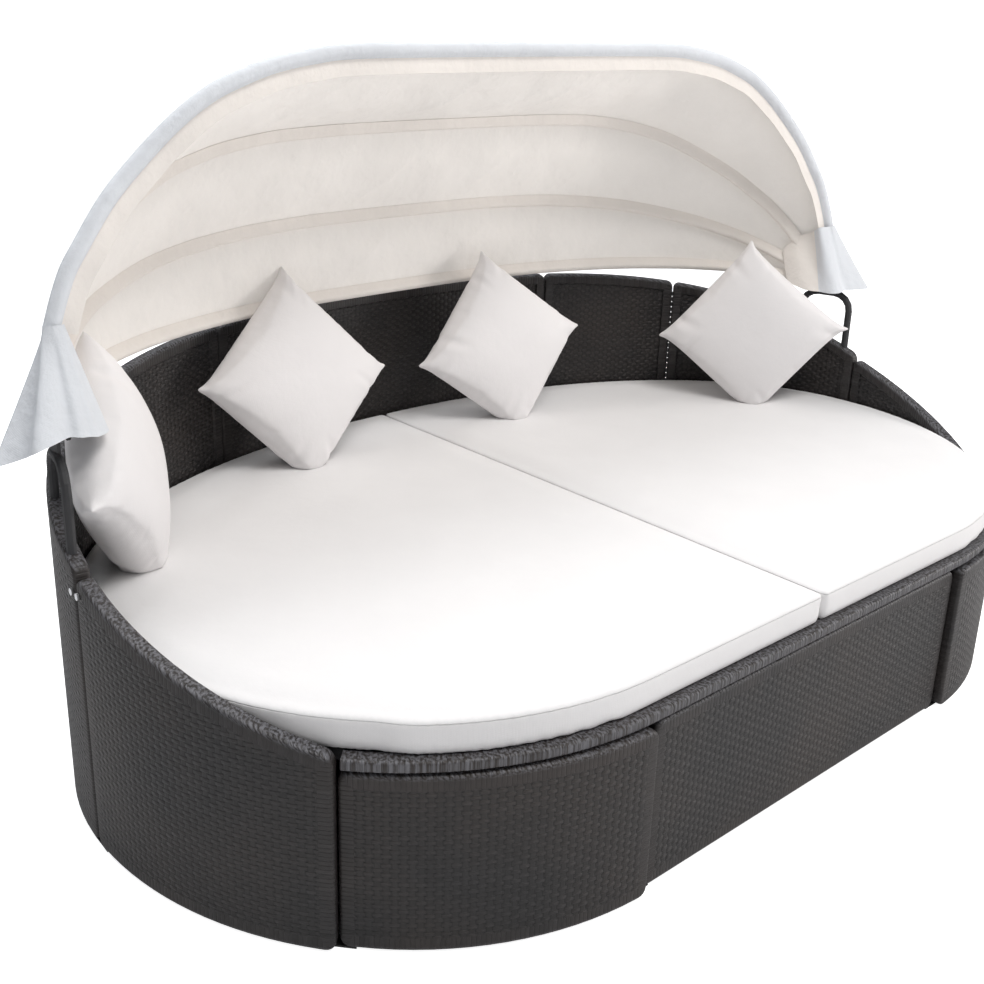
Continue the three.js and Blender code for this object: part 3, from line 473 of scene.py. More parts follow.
def bend_blank(obj, plan, top, low, inset, gap, height, wrapped=False):
    """Bends a flat blank round its plan curve, lifts its top to its line and keeps its flat lengths as maps."""
    size = sizes()
    shares, runs = run_table(plan, inset)
    full = runs[-1]
    flat = points_of(obj)
    share = np.interp(flat[:, 0] + gap / 2, runs, shares)
    tall = top(share) - low
    edge = min(size.border_width + size.recess_slope, height / 2)
    between = (flat[:, 2] - edge) / max(height - 2 * edge, MM)
    rise = np.where(
        flat[:, 2] <= edge, flat[:, 2],
        np.where(flat[:, 2] >= height - edge, tall - (height - flat[:, 2]), edge + between * (tall - 2 * edge)),
    )
    x, y = plan(share, inset(share) + flat[:, 1])
    move_points(obj, np.column_stack([x, y, low + rise]))
    run = full - gap
    paint_map(obj, "weave", np.column_stack([flat[:, 0], low + rise]))
    from_end = np.minimum(flat[:, 0], run - flat[:, 0])
    from_top = np.minimum(rise, tall - rise)
    border = np.column_stack([from_end, from_top])
    paint_map(obj, "border", np.zeros_like(border) + (size.border_width, 0) if wrapped else border)
    obj.data.uv_layers["weave"].active_render = True
    face_outwards(obj)
    smooth(obj)


def seam_turns(side, word, material):
    """Turns of strip that bridge an outer seam of the back, with slits of light between them."""
    size = sizes()
    angle = back_angle(OUTER_SEAM_SHARE)
    bpy.ops.mesh.primitive_cube_add(size=1)
    turns = added("seam_turns_" + word)
    edit_all(turns)
    bpy.ops.transform.resize(value=(size.seam_gap + 3 * MM, 0.4 * size.wall, SEAM_TURN_HEIGHT))
    bpy.ops.mesh.bevel(offset=MM, segments=2, affect="EDGES")
    bpy.ops.transform.translate(value=(0, 0, 30 * MM))
    apply_modifier(
        turns, "ARRAY", count=int((back_top(angle) - 42 * MM) / SEAM_TURN_PITCH),
        use_relative_offset=False, use_constant_offset=True, constant_offset_displace=(0, 0, SEAM_TURN_PITCH),
    )
    inside, outside = (Vector(back_point(angle, inset)) for inset in (size.wall, 0))
    way, middle = outside - inside, (outside + inside) / 2
    spin = np.array(Matrix.Rotation(math.atan2(-way.x * side, way.y), 3, "Z"))
    move_points(turns, points_of(turns) @ spin.T + (side * middle.x, middle.y, 0))
    give(turns, material)
    ready(turns, "daybed")


class DAYBED_OT_woven_panels(bpy.types.Operator):
    """Woven panels of the arms, back and front"""

    bl_idname = "daybed.woven_panels"
    bl_label = "Woven panels"

    def execute(self, context):
        size = sizes()
        material = woven_material()
        for name, plan, top, inset, gap in panel_plans():
            run = run_table(plan, inset)[1][-1] - gap
            tall = float(np.mean(top(np.linspace(0, 1, 11)))) - size.foot_height
            panel = woven_blank(name + "_weave", run, tall)
            bend_blank(panel, plan, top, size.foot_height, inset, gap, tall)
            give(panel, material)
            ready(panel, "daybed", name)
        for side, word in SIDES:
            seam_turns(side, word, material)
        return {"FINISHED"}


def front_run(k, inset, start):
    """Plan of the front from one arm end to the other, by share: a corner, the straight part and a corner."""
    corner = 0.3
    left = front_point(-1, mix(start, 90, unit(k / corner)), inset)
    right = front_point(1, mix(90, start, unit((k - 1 + corner) / corner)), inset)
    share = unit((k - corner) / (1 - 2 * corner))
    straight = mix(-sizes().straight_half, sizes().straight_half, share)
    x = np.where(k < corner, left[0], np.where(k > 1 - corner, right[0], straight))
    y = np.where(k < corner, left[1], np.where(k > 1 - corner, right[1], front_edge(0, inset)))
    return x, y


class DAYBED_OT_front_rim(bpy.types.Operator):
    """Wrapped rim along the top of the front"""

    bl_idname = "daybed.front_rim"
    bl_label = "Front rim"

    def execute(self, context):
        size = sizes()
        plan = lambda k, inset: front_run(k, inset, ARM_END_ANGLE + RIM_END_TURN)
        inset = level(size.rim_inset)
        run = run_table(plan, inset)[1][-1]
        rim = flat_blank("front_rim_wrapping", run, size.rim_width, size.rim_height)
        edit(rim, "EDGE")
        round_outline(rim, size.rim_edge, 4, Vector((1, 0, 0)))
        cut((1, 0, 0), np.linspace(0, run, int(run / size.station) + 1)[1:-1])
        low = size.rim_top - size.rim_height
        put_down()
        bend_blank(rim, plan, level(size.rim_top), low, inset, 0, size.rim_height, wrapped=True)
        give(rim, woven_material())
        ready(rim, "daybed", "front_rim")
        return {"FINISHED"}


# Mattress


def mattress_inset(x):
    arm_end = front_point(1, ARM_END_ANGLE, sizes().wall)[0]
    start, end = arm_end - 2 * sizes().arm_clearance, arm_end - sizes().arm_clearance
    share = eased(unit((x - start) / (end - start)))
    return mix(sizes().mattress_front_inset, sizes().wall + sizes().mattress_wall_gap, share)


def mattress_outline(side):
    size = sizes()
    inset = size.wall + size.mattress_wall_gap
    across = mix(size.mattress_split, size.half_length - inset, np.sin(np.linspace(0, np.pi / 2, 64)))
    back = np.column_stack([across, back_edge(across, inset)])
    front = np.column_stack([across, front_edge(across, mattress_inset(across))])[:-1][::-1]
    outline = np.vstack([back, front])
    return outline * (side, 1)


def mattress_block(name, side):
    """Foam block of one half: its outline is filled, pulled up and rounded."""
    size = sizes()
    outline = mattress_outline(side)
    bpy.ops.mesh.primitive_circle_add(vertices=len(outline), radius=1, fill_type="NGON")
    obj = added(name)
    low = size.rim_top + ON_REST
    move_points(obj, np.column_stack([outline, np.full(len(outline), low)]))
    edit_all(obj)
    bpy.ops.mesh.extrude_region_move(TRANSFORM_OT_translate={"value": (0, 0, size.mattress_height)})
    face_outwards(obj)
    edit(obj, "EDGE")
    pick(obj, "edges", lambda edge: edge.calc_face_angle(0) > math.radians(70) and abs(
        edge.verts[0].co.z - edge.verts[1].co.z) < MM)
    bpy.ops.mesh.bevel(offset=size.mattress_edge, offset_type="OFFSET", segments=4, affect="EDGES")
    put_down()
    return obj


def puff(obj, pressure, cap, frames=16, stiffness=18):
    """Fills a closed cover with air in a cloth simulation and keeps each point within the cap of its start."""
    start = points_of(obj)
    take(obj)
    modifier = obj.modifiers.new("Cloth", "CLOTH")
    cloth = modifier.settings
    cloth.quality, cloth.mass, cloth.bending_stiffness = 5, 0.3, 0.6
    cloth.tension_stiffness = cloth.compression_stiffness = stiffness
    cloth.shear_stiffness = stiffness / 3
    cloth.use_pressure, cloth.uniform_pressure_force = True, pressure
    cloth.effector_weights.gravity = 0
    modifier.collision_settings.use_collision = False
    modifier.point_cache.frame_end = frames
    scene = bpy.context.scene
    for step in range(1, frames + 1):
        scene.frame_set(step)
    bpy.ops.object.modifier_apply(modifier=modifier.name)
    scene.frame_set(1)
    moved = points_of(obj) - start
    far = np.maximum(np.linalg.norm(moved, axis=1, keepdims=True), 1e-9)
    move_points(obj, start + moved * np.minimum(1, cap / far))


def ripple(points, seed, scale, count=14):
    """Smooth, seeded unevenness: the sum of waves of many directions, from -1 to 1."""
    random = np.random.default_rng(seed)
    total = np.zeros(len(points))
    for _ in range(count):
        way = random.normal(size=3)
        way /= np.linalg.norm(way)
        total += np.sin(points @ way * (2 * np.pi / scale) * random.uniform(0.6, 1.6) + random.uniform(0, 6.3))
    return total / count


def beside(points, outline):
    """Distance of each point inside a closed outline in plan, and the way inwards there."""
    after = np.roll(outline, -1, axis=0)
    run = after - outline
    turn = np.sign(np.sum(outline[:, 0] * after[:, 1] - after[:, 0] * outline[:, 1]))
    inward = turn * np.column_stack([-run[:, 1], run[:, 0]]) / np.linalg.norm(run, axis=1)[:, None]
    away = points[:, None, :2] - outline[None]
    share = unit((away * run).sum(axis=2) / (run ** 2).sum(axis=1))
    nearest = np.linalg.norm(away - share[..., None] * run, axis=2).argmin(axis=1)
    inside = (away[np.arange(len(points)), nearest] * inward[nearest]).sum(axis=1)
    return inside, inward[nearest]


def sharpen(points, outline, top, zone):
    """Draws the soft top edge of a block out to a crisp sewn edge."""
    inside, inward = beside(points, outline)
    from_side, from_top = zone - inside, zone - (top - points[:, 2])
    corner = (from_side > 0) & (from_top > 0)
    side, up = np.where(corner, from_side, 1), np.where(corner, from_top, 1)
    reach = zone / (side ** 7 + up ** 7) ** (1 / 7)
    points = points.copy()
    points[:, :2] -= np.where(corner, side * (reach - 1), 0)[:, None] * inward
    points[:, 2] += np.where(corner, up * (reach - 1), 0)
    return points


class DAYBED_OT_mattress(bpy.types.Operator):
    """Two mattress halves"""

    bl_idname = "daybed.mattress"
    bl_label = "Mattress"

    def execute(self, context):
        size = sizes()
        material = cushion_material("mattress_cover", colours().cushion, 9, sewn=True)
        top = size.rim_top + size.mattress_height
        for side, word in SIDES:
            half = mattress_block("mattress_half_" + word, side)
            outline = mattress_outline(side)
            apply_modifier(half, "REMESH", mode="VOXEL", voxel_size=9 * MM, use_smooth_shade=True)
            apply_modifier(half, "SMOOTH", factor=0.5, iterations=2)
            start = points_of(half)
            inside = beside(start, outline)[0]
            puff(half, 0.9, 7 * MM, frames=12)
            free = unit(inside / (70 * MM))[:, None]
            points = start + (points_of(half) - start) * eased(free)
            level = unit((points[:, 2] - size.rim_top) / size.mattress_height)
            points[:, 2] += 2 * MM * ripple(points, 5 + side, 0.34) * unit(2 * level - 1) * free[:, 0]
            points = sharpen(points, outline, top, 16 * MM)
            inside, inward = beside(points, outline)
            wave = ripple(points * (1, 1, 0.15), 8 + side, 0.12) * np.sin(level * np.pi)
            near = np.exp(-np.abs(inside) / (8 * MM))
            points[:, :2] -= (1.2 * MM * (wave + 1) * near)[:, None] * inward
            points[:, 2] = np.maximum(points[:, 2], size.rim_top + ON_REST)
            points[:, 0] = side * np.maximum(points[:, 0] * side, size.mattress_split / 2)
            move_points(half, points)
            apply_modifier(half, "SUBSURF", levels=1, render_levels=1)
            smooth(half, 80)
            points = points_of(half)
            paint_map(half, "edge", np.column_stack([beside(points, outline)[0], top - points[:, 2]]))
            give(half, material)
            ready(half, "daybed", "mattress_" + word)
        return {"FINISHED"}


# Pillows


def pillow_cover(name, side, fill, seed):
    """Two square covers sewn together along their rims and filled: sides drawn in, corners left as ears."""
    bpy.ops.mesh.primitive_grid_add(x_subdivisions=64, y_subdivisions=64, size=side)
    obj = added(name)
    edit_all(obj)
    bpy.ops.mesh.duplicate()
    bpy.ops.mesh.flip_normals()
    bpy.ops.transform.translate(value=(0, 0, -MM))
    put_down()
    points = points_of(obj)
    half = side / 2
    face = np.where(points[:, 2] > -MM / 2, 1, -1)
    u, v = points[:, 0] / half, points[:, 1] / half
    from_seam = (1 - np.maximum(np.abs(u), np.abs(v))) * half
    ear = eased(unit(np.hypot(1 - np.abs(u), 1 - np.abs(v)) / 0.34))
    full = ((1 - np.abs(u) ** 2.4) * (1 - np.abs(v) ** 2.4)).clip(0) ** 0.5 * mix(0.55, 1, ear)
    rise = full * (fill + 2.5 * MM * ripple(points, seed, 0.2))
    rise = np.where(from_seam < MM / 10, 0, np.maximum(rise, 0.4 * MM))
    pull = 0.075 * np.random.default_rng(seed).uniform(0.7, 1.3, 4)
    across = 1 - np.where(u > 0, pull[0], pull[1]) * (1 - np.abs(v) ** 5) * np.abs(u)
    up = 1 - np.where(v > 0, pull[2], pull[3]) * (1 - np.abs(u) ** 5) * np.abs(v)
    blunt = 1 - 0.035 * np.abs(u * v) ** 24
    move_points(obj, np.column_stack([points[:, 0] * across * blunt, points[:, 1] * up * blunt, face * rise]))
    edit(obj, "VERT")
    pick(obj, "verts", lambda vertex: vertex.is_boundary)
    bpy.ops.mesh.remove_doubles(threshold=MM / 10)
    put_down()
    return obj


def pinches(points, half, seed):
    """Depth of the folds that run in from the seams, and of the small puckers along them."""
    random = np.random.default_rng(seed + 100)
    u, v = points[:, 0] / half, points[:, 1] / half
    face = np.sign(points[:, 2])
    from_seam = (1 - np.maximum(np.abs(u), np.abs(v)) / 0.95).clip(0) * half
    along = np.where(np.abs(u) > np.abs(v), v, u) * half
    wave = np.sin(along * 2 * np.pi / 0.034 + 2 * face) + 0.7 * np.sin(along * 2 * np.pi / 0.021 + face)
    depth = 1.5 * MM * wave * np.exp(-from_seam / 0.014) * (1 - np.exp(-from_seam / 0.004))
    for quarter in range(4):
        for end in (-1, 1):
            start = np.array((1.0, end * random.uniform(0.5, 0.8)))
            aim = np.array((0, end * random.uniform(0.25, 0.5))) - start
            reach, deep, wide = random.uniform(0.05, 0.12), random.uniform(4.0, 9.0), random.uniform(0.008, 0.013)
            turn = quarter * np.pi / 2
            spin = np.array(((math.cos(turn), -math.sin(turn)), (math.sin(turn), math.cos(turn))))
            start, aim = spin @ start * half * 0.95, spin @ aim / np.linalg.norm(aim)
            away = points[:, :2] - start
            run = away @ aim
            off = away[:, 0] * aim[1] - away[:, 1] * aim[0] + 0.12 * run ** 2 / reach
            fade = unit(1 - run / reach) ** 1.5 * unit(run / 0.012 + 0.6)
            fold = np.exp(-(off / wide) ** 2) - 0.45 * np.exp(-((np.abs(off) - 1.9 * wide) / wide) ** 2)
            depth = depth + deep * MM * fade * fold
    return depth


def press_corner(points, depth):
    """Crushes the corner that a pillow stands on back into its filling."""
    tip = points[points[:, 2].argmin()].copy()
    up = -tip / np.linalg.norm(tip)
    run = (points - tip) @ up
    share = unit(run / depth)
    on_line = tip + up * run[:, None]
    off = (points - on_line) * (1 + 0.5 * (1 - share) ** 2)[:, None]
    return tip + up * np.where(run < depth, depth * (0.5 + 0.5 * share ** 2), run)[:, None] + off


def settle(points, rest, depth):
    """Stands a soft thing flat on what it rests on."""
    low = points[:, 2].min()
    share = unit((points[:, 2] - low) / depth)
    points[:, 2] = rest + depth * (0.04 * share + 0.48 * share ** 2) + np.maximum(points[:, 2] - low - depth, 0)
    return points


class DAYBED_OT_pillows(bpy.types.Operator):
    """Four loose pillows standing on a corner"""

    bl_idname = "daybed.pillows"
    bl_label = "Pillows"

    def execute(self, context):
        size = sizes()
        material = cushion_material("pillow_cover", colours().pillow, 13)
        rest = size.rim_top + size.mattress_height + ON_REST
        for number, (x, y, turn, lean, roll, side, fill, foot, seed) in enumerate(PILLOWS, 1):
            pillow = pillow_cover(f"pillow_cover_{number}", side * size.pillow_scale, fill, seed)
            points = points_of(pillow)
            depth = pinches(points, side / 2, seed)
            puff(pillow, 4.0, 6 * MM, frames=12, stiffness=20)
            points = points_of(pillow) - np.column_stack([0 * depth, 0 * depth, np.sign(points[:, 2]) * depth])
            place = (
                Matrix.Rotation(math.radians(turn), 3, "Z") @ Matrix.Rotation(math.radians(lean), 3, "X")
                @ Matrix.Rotation(math.radians(45 + roll), 3, "Y") @ Matrix.Rotation(math.radians(90), 3, "X")
            )
            points = press_corner(points @ np.array(place).T, foot)
            points[:, :2] += (x, size.widest_y + y)
            move_points(pillow, settle(points, rest, 30 * MM))
            face_outwards(pillow)
            apply_modifier(pillow, "SUBSURF", levels=1, render_levels=1)
            smooth(pillow, 80)
            give(pillow, material)
            ready(pillow, "daybed", f"pillow_{number}")
        return {"FINISHED"}


# Canopy


def spline(rows, share):
    """Smooth line through a row of points, by share."""
    rows = np.asarray(rows, float)
    count = len(rows)
    at = unit(share) * (count - 1)
    index = np.minimum(at.astype(int), count - 2)
    t = (at - index)[:, None]
    p = [rows[np.clip(index + shift, 0, count - 1)] for shift in (-1, 0, 1, 2)]
    a, b = (p[2] - p[0]) / 2, (p[3] - p[1]) / 2
    return (2 * p[1] - 2 * p[2] + a + b) * t ** 3 + (3 * p[2] - 3 * p[1] - 2 * a - b) * t ** 2 + a * t + p[1]


def hoop_line(name):
    """Centre line of a hoop in its own plane: shares of its run, and places across and up from the hinge."""
    angle, reach, eye, rear = HOOPS[name]
    half = [(across * eye, mix(front, back, rear) * reach) for across, front, back in HOOP_OUTLINE_SHARES]
    line = spline([(-x, y) for x, y in half] + half[::-1], np.linspace(0, 1, 2401))
    runs = np.concatenate([[0], np.cumsum(np.linalg.norm(np.diff(line, axis=0), axis=1))])
    return runs, line


def hoop_place(name, share, offset):
    """Points beside a hoop, by the share of its run; offset is the distance outside its centre line."""
    runs, line = HOOP_LINES[name]
    at = np.asarray(share, float) * runs[-1]

    def after(step):
        run = np.clip(at + step, 0, runs[-1])
        return np.array([np.interp(run, runs, line[:, axis]) for axis in (0, 1)])

    way = after(2 * MM) - after(-2 * MM)
    way /= np.hypot(*way)
    x, rise = after(0) + np.array((-way[1], way[0])) * offset
    tilt = math.radians(HOOPS[name][0])
    return np.stack([x, HINGE.y + rise * math.sin(tilt), HINGE.z + rise * math.cos(tilt)], -1)


def hoop_axis(name):
    """Way square to the plane of a hoop, to the front."""
    tilt = math.radians(HOOPS[name][0])
    return np.array((0, -math.cos(tilt), math.sin(tilt)))


HOOP_LINES = {name: hoop_line(name) for name in HOOPS}
HOOP_RUN = HOOP_LINES["front"][0][-1]


def gore_point(before, after, along, share, lift):
    """Points on the cloth between two hoops: drawn in between them and softly folded."""
    offset = sizes().cloth_offset + lift
    start, end = hoop_place(before, along, offset), hoop_place(after, along, offset)
    width = np.linalg.norm(end - start, axis=-1)
    point = mix(start, end, share[:, None])
    height = np.sin(along * np.pi)
    middle = np.sin(share * np.pi) ** 2
    slack = (4 * share * (1 - share)) ** 0.85 * unit(2 * height - 0.15)
    fold = 0.02 * np.cos((along - 0.5) * np.pi * 10) * (1 - height)
    inward = point - (0, HINGE.y, HINGE.z)
    inward /= np.linalg.norm(inward, axis=-1, keepdims=True)
    sag = 0.01 * height + fold
    crease = 0.013 * np.sin(along * 47 + 5 * share) * np.sin(along * 19 + 1.3)
    crease += 0.009 * np.sin(along * 91 - 7 * share + 2) * np.cos(along * 13)
    sharp = 0.02 * np.exp(-np.abs(np.sin(along * 25 + share * 2.2)) * 9) * np.clip(height, 0.3, 1)
    depth = width * (middle * (sag + crease + sharp) + slack * sizes().cloth_slack)
    return point - inward * depth[:, None]


def cloth_grid(name, columns, rows, place, wide, long, first=0):
    """Sheet of cloth laid out flat and then hung: place(along, across) gives its points, both from 0 to 1."""
    bpy.ops.mesh.primitive_grid_add(x_subdivisions=columns, y_subdivisions=rows, size=1)
    obj = added(name)
    flat = points_of(obj)
    along, across = flat[:, 0] + 0.5, flat[:, 1] + 0.5
    move_points(obj, place(along, across))
    paint_map(obj, "cloth", np.column_stack([along * long, first + across * wide]))
    return obj


def line_faces(obj, wanted):
    """Gives the second material to the faces whose place on the flat cloth passes a test."""
    places = obj.data.uv_layers["cloth"].data
    for face in obj.data.polygons:
        face.material_index = int(wanted(*places[face.loop_start].uv))


def sheet_area(obj):
    return sum(face.area for face in obj.data.polygons)


def thicken(obj, flipped=False, second=0):
    if flipped:
        edit_all(obj)
        bpy.ops.mesh.flip_normals()
        put_down()
    apply_modifier(
        obj, "SOLIDIFY", thickness=sizes().cloth, offset=0, material_offset=second, material_offset_rim=0,
    )
    smooth(obj, 60)


def crown(name):
    return Vector(hoop_place(name, 0.5, sizes().cloth_offset))


GORES = (
    ("canopy_cloth_front", "front", "second", "canopy_front", "canopy_second", "canopy_gore_front"),
    ("canopy_cloth_middle", "second", "third", "canopy_second", "canopy_third", "canopy_gore_middle"),
    ("canopy_cloth_rear", "third", "rear", "canopy_third", "daybed", "canopy_gore_rear"),
)


class DAYBED_OT_canopy_cloth(bpy.types.Operator):
    """Cloth between the hoops of the canopy"""

    bl_idname = "daybed.canopy_cloth"
    bl_label = "Canopy cloth"

    def execute(self, context):
        end = sizes().gore_end_run / HOOP_RUN
        for node, before, after, front_body, back_body, name in GORES:
            place = lambda along, across: gore_point(before, after, mix(end, 1 - end, along), across, 0)
            wide = (crown(before) - crown(after)).length
            # The front gore's map starts at 0.5 m, so it gets none of the painted shade behind a hoop
            first = 0.5 if before == "front" else 0
            gore = cloth_grid(name, 260, 28, place, wide, HOOP_RUN * (1 - 2 * end), first)
            cut = sheet_area(gore)
            give(gore, canvas_material("canvas_outside"), canvas_material("canvas_inside"))
            thicken(gore, second=1)
            crown(before)
            crown(after)
            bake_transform(gore)
            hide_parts(node)
            min(cut, wide * HOOP_RUN)
        return {"FINISHED"}


def pocket(name, hoop, before):
    """Strip of canvas sewn under a hoop: round the tube behind it, and in front along the slack cloth."""
    half, lap, deep = POCKET
    end = (sizes().gore_end_run + 4 * MM) / HOOP_RUN
    axis = hoop_axis(hoop)
    offset = sizes().cloth_offset - sizes().cloth
    gap = (crown(before) - crown(hoop)).length

    def place(along, across):
        share = mix(end, 1 - end, along)
        round_it = 2 * across - 1
        base = hoop_place(hoop, share, offset)
        way = (hoop_place(hoop, share, offset - 10 * MM) - base) / (10 * MM)
        behind = deep * np.sqrt(unit(1 - round_it ** 2))
        narrow = unit(0.76 + 1.5 * np.minimum(along, 1 - along))
        rear = base + way * (behind + MM)[:, None] + axis * (round_it * half * narrow)[:, None]
        ahead = unit(round_it)
        on_cloth = gore_point(before, hoop, share, 1 - ahead * narrow * lap / gap, -2.2 * MM)
        below = base + way * (deep + MM) + axis * (ahead * narrow * lap)[:, None]
        sunk = np.clip(((on_cloth - below) * way).sum(axis=1), -deep, 0)
        front = below + way * (sunk * ahead ** (1.3 + 4 * (1 - narrow)))[:, None]
        return np.where(round_it[:, None] < 0, rear, front)

    return cloth_grid(name, 240, 16, place, 2 * half + lap, HOOP_RUN)


class DAYBED_OT_hoop_pockets(bpy.types.Operator):
    """Pockets that hold the cloth on the inner hoops"""

    bl_idname = "daybed.hoop_pockets"
    bl_label = "Hoop pockets"

    def execute(self, context):
        for _, before, hoop, _, body, _ in GORES:
            strip = pocket("canopy_pocket_" + hoop, hoop, before)
            cut = sheet_area(strip)
            # The pocket gets the darker copy of the inner canvas: painted shade
            give(strip, canvas_material("canvas_pocket"))
            thicken(strip)
            ready(strip, body)
            cut / HOOP_RUN
        return {"FINISHED"}


class DAYBED_OT_front_sleeve(bpy.types.Operator):
    """Sleeve round the front hoop, with its sewn web"""

    bl_idname = "daybed.front_sleeve"
    bl_label = "Front sleeve"

    def execute(self, context):
        size = sizes()
        left, right = (((FLAP_RUNS[side] - 9 * MM) / HOOP_RUN) for side, _ in SIDES)
        axis = hoop_axis("front")
        web, tube = 32 * MM, 0.62
        outside = size.cloth_offset + 1.6 * MM

        def place(along, across):
            share = mix(left, 1 - right, along)
            turn = mix(-110, 180, unit(across / tube))
            round_out = np.cos(np.radians(turn)) * outside
            round_ahead = np.sin(np.radians(turn)) * outside
            hang = unit((across - tube) / (1 - tube))
            offset = np.where(across > tube, mix(-outside, -outside - web, hang), round_out)
            wave = 1.6 * MM * np.sin(along * 83 + across * 3) * np.sin(along * 29)
            ahead = np.where(across > tube, mix(0, 2 * MM, hang), round_ahead) + wave * hang
            return hoop_place("front", share, offset) + axis * ahead[:, None]

        sleeve = cloth_grid("canopy_sleeve_front", 260, 36, place, 96 * MM, HOOP_RUN)
        cut = sheet_area(sleeve)
        give(sleeve, canvas_material("canvas_outside"), canvas_material("canvas_pocket"))
        # The web of the sleeve gets the darker copy of the inner canvas: painted shade
        line_faces(sleeve, lambda along, across: across > 60 * MM)
        thicken(sleeve)
        ready(sleeve, "canopy_front", "canopy_front_band")
        cut / HOOP_RUN
        return {"FINISHED"}


def flap_rows(side):
    """Sewn edge and hem of the flap over one hinge."""
    size = sizes()
    lift = 5.8 * MM
    run = FLAP_RUNS[side] / HOOP_RUN
    along = 1 - run if side > 0 else run
    shares = np.array((0.85, 0.6, 0.35, 0.1))
    on_cloth = gore_point("front", "second", np.full(4, along), shares, lift)
    centre = hoop_place("front", np.array([along]), 0)[0]
    ahead, outward = hoop_axis("front"), np.array((side, 0, 0))
    reach = size.cloth_offset + lift
    around = [
        centre + reach * (math.cos(math.radians(turn)) * outward + math.sin(math.radians(turn)) * ahead)
        for turn in (20, 65, 110)
    ]
    around.append(centre + reach * (ahead * 0.75 - outward * 0.8))
    if side > 0:
        around.append(centre + reach * ahead * 0.45 - outward * (reach + 36 * MM))
        around.extend(gore_point("front", "second", np.full(2, along), np.array((0.4, 0.9)), -3 * lift))
        around.extend(gore_point("second", "third", np.full(1, along), np.array((0.6,)), -3 * lift))
    lug_x = (HOOPS["front"][2] + HOOPS["second"][2]) / 2
    hem = np.array(FLAP_HEMS[side]) * MM
    return np.vstack([on_cloth, around]), np.column_stack([
        side * (lug_x + hem[:, 0]), HINGE.y + hem[:, 1], hem[:, 2],
    ])


class DAYBED_OT_hinge_flaps(bpy.types.Operator):
    """Loose flaps that cover the hinges"""

    bl_idname = "daybed.hinge_flaps"
    bl_label = "Hinge flaps"

    def execute(self, context):
        for side, word in SIDES:
            top, hem = flap_rows(side)

            def place(along, across):
                upper, lower = spline(top, along), spline(hem, along)
                point = mix(upper, lower, across[:, None])
                out = point - (side * 1.1, HINGE.y, 0)
                out[:, 2] = 0
                out /= np.maximum(np.linalg.norm(out, axis=1, keepdims=True), 1e-6)
                wave = along * 27 + 1.2 * across + side
                pleat = 5 * MM * (np.sin(wave) + 0.4 * np.sin(2 * wave + 1)) * across ** 1.1
                return point + out * pleat[:, None]

            flap = cloth_grid("hinge_flap_" + word, 72, 26, place, 0.19, 0.3)
            give(flap, canvas_material("canvas_outside"), canvas_material("canvas_pocket"))
            # The inner part of the right flap gets the darker copy of the inner canvas: painted shade
            line_faces(flap, lambda along, across: side > 0 and along / 0.3 > 0.8)
            thicken(flap)
            crown("front")
            crown("second")
            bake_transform(flap)
            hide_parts("canopy_flap_" + word)
        return {"FINISHED"}


# Finishes


def maths(operation):
    """Method that puts a maths node behind a value."""
    def method(value, *others):
        return node(value.socket.id_data, "Math", enumerate((value, *others)), operation=operation)[0]

    return method


class Value:
    """Output of a node, for sums written as in Python."""

    def __init__(self, socket):
        self.socket = socket

    def __rsub__(self, number):
        return node(self.socket.id_data, "Math", {0: number, 1: self}, operation="SUBTRACT")[0]

    __add__, __sub__, __mul__ = maths("ADD"), maths("SUBTRACT"), maths("MULTIPLY")
    __truediv__, __pow__ = maths("DIVIDE"), maths("POWER")
    __lt__, __gt__ = maths("LESS_THAN"), maths("GREATER_THAN")
    sine, floor, absolute = maths("SINE"), maths("FLOOR"), maths("ABSOLUTE")
    minimum, maximum, times_plus = maths("MINIMUM"), maths("MAXIMUM"), maths("MULTIPLY_ADD")
    smooth_minimum, smooth_maximum = maths("SMOOTH_MIN"), maths("SMOOTH_MAX")


class Outputs:
    """Outputs of a node, by name or place."""

    def __init__(self, made):
        self.made = made

    def __getitem__(self, key):
        return Value(self.made.outputs[key])


def feed(made, inputs):
    """Feeds inputs of a node, by name or place, with values, numbers or colours."""
    for place, value in dict(inputs).items():
        if isinstance(value, Value):
            made.id_data.links.new(value.socket, made.inputs[place])
        else:
            made.inputs[place].default_value = value


def node(tree, kind, inputs=(), **settings):
    made = tree.nodes.new("ShaderNode" + kind)
    for key, setting in settings.items():
        setattr(made, key, setting)
    feed(made, inputs)
    return Outputs(made)


def parts(vector):
    return node(vector.socket.id_data, "SeparateXYZ", {0: vector})


def uv_map(tree, name):
    return node(tree, "UVMap", uv_map=name)[0]


def object_place(tree):
    return node(tree, "TexCoord")["Object"]


def noise(place, scale, detail=2, roughness=0.5):
    inputs = {"Vector": place, "Scale": scale, "Detail": detail, "Roughness": roughness}
    return node(place.socket.id_data, "TexNoise", inputs)[0]


def speckle(kind, place, dimensions):
    """Random number for each whole number or cell."""
    return node(place.socket.id_data, "TexWhiteNoise", {kind: place}, noise_dimensions=dimensions)[0]


def ramp(value, start, end, low=0.0, high=1.0, **settings):
    """Value spread from one range over another, and kept inside it."""
    inputs = {"Value": value, "From Min": start, "From Max": end, "To Min": low, "To Max": high}
    return node(value.socket.id_data, "MapRange", inputs, **settings)[0]


def blended(share, first, second):
    return node(share.socket.id_data, "Mix", {0: share, 6: first, 7: second}, data_type="RGBA")[2]


def chosen(share, first, second):
    """Number that is first where share is 0 and second where it is 1."""
    return share * (second - first) + first


def dimmed(tone, share):
    return [share * c for c in tone[:3]] + [1]


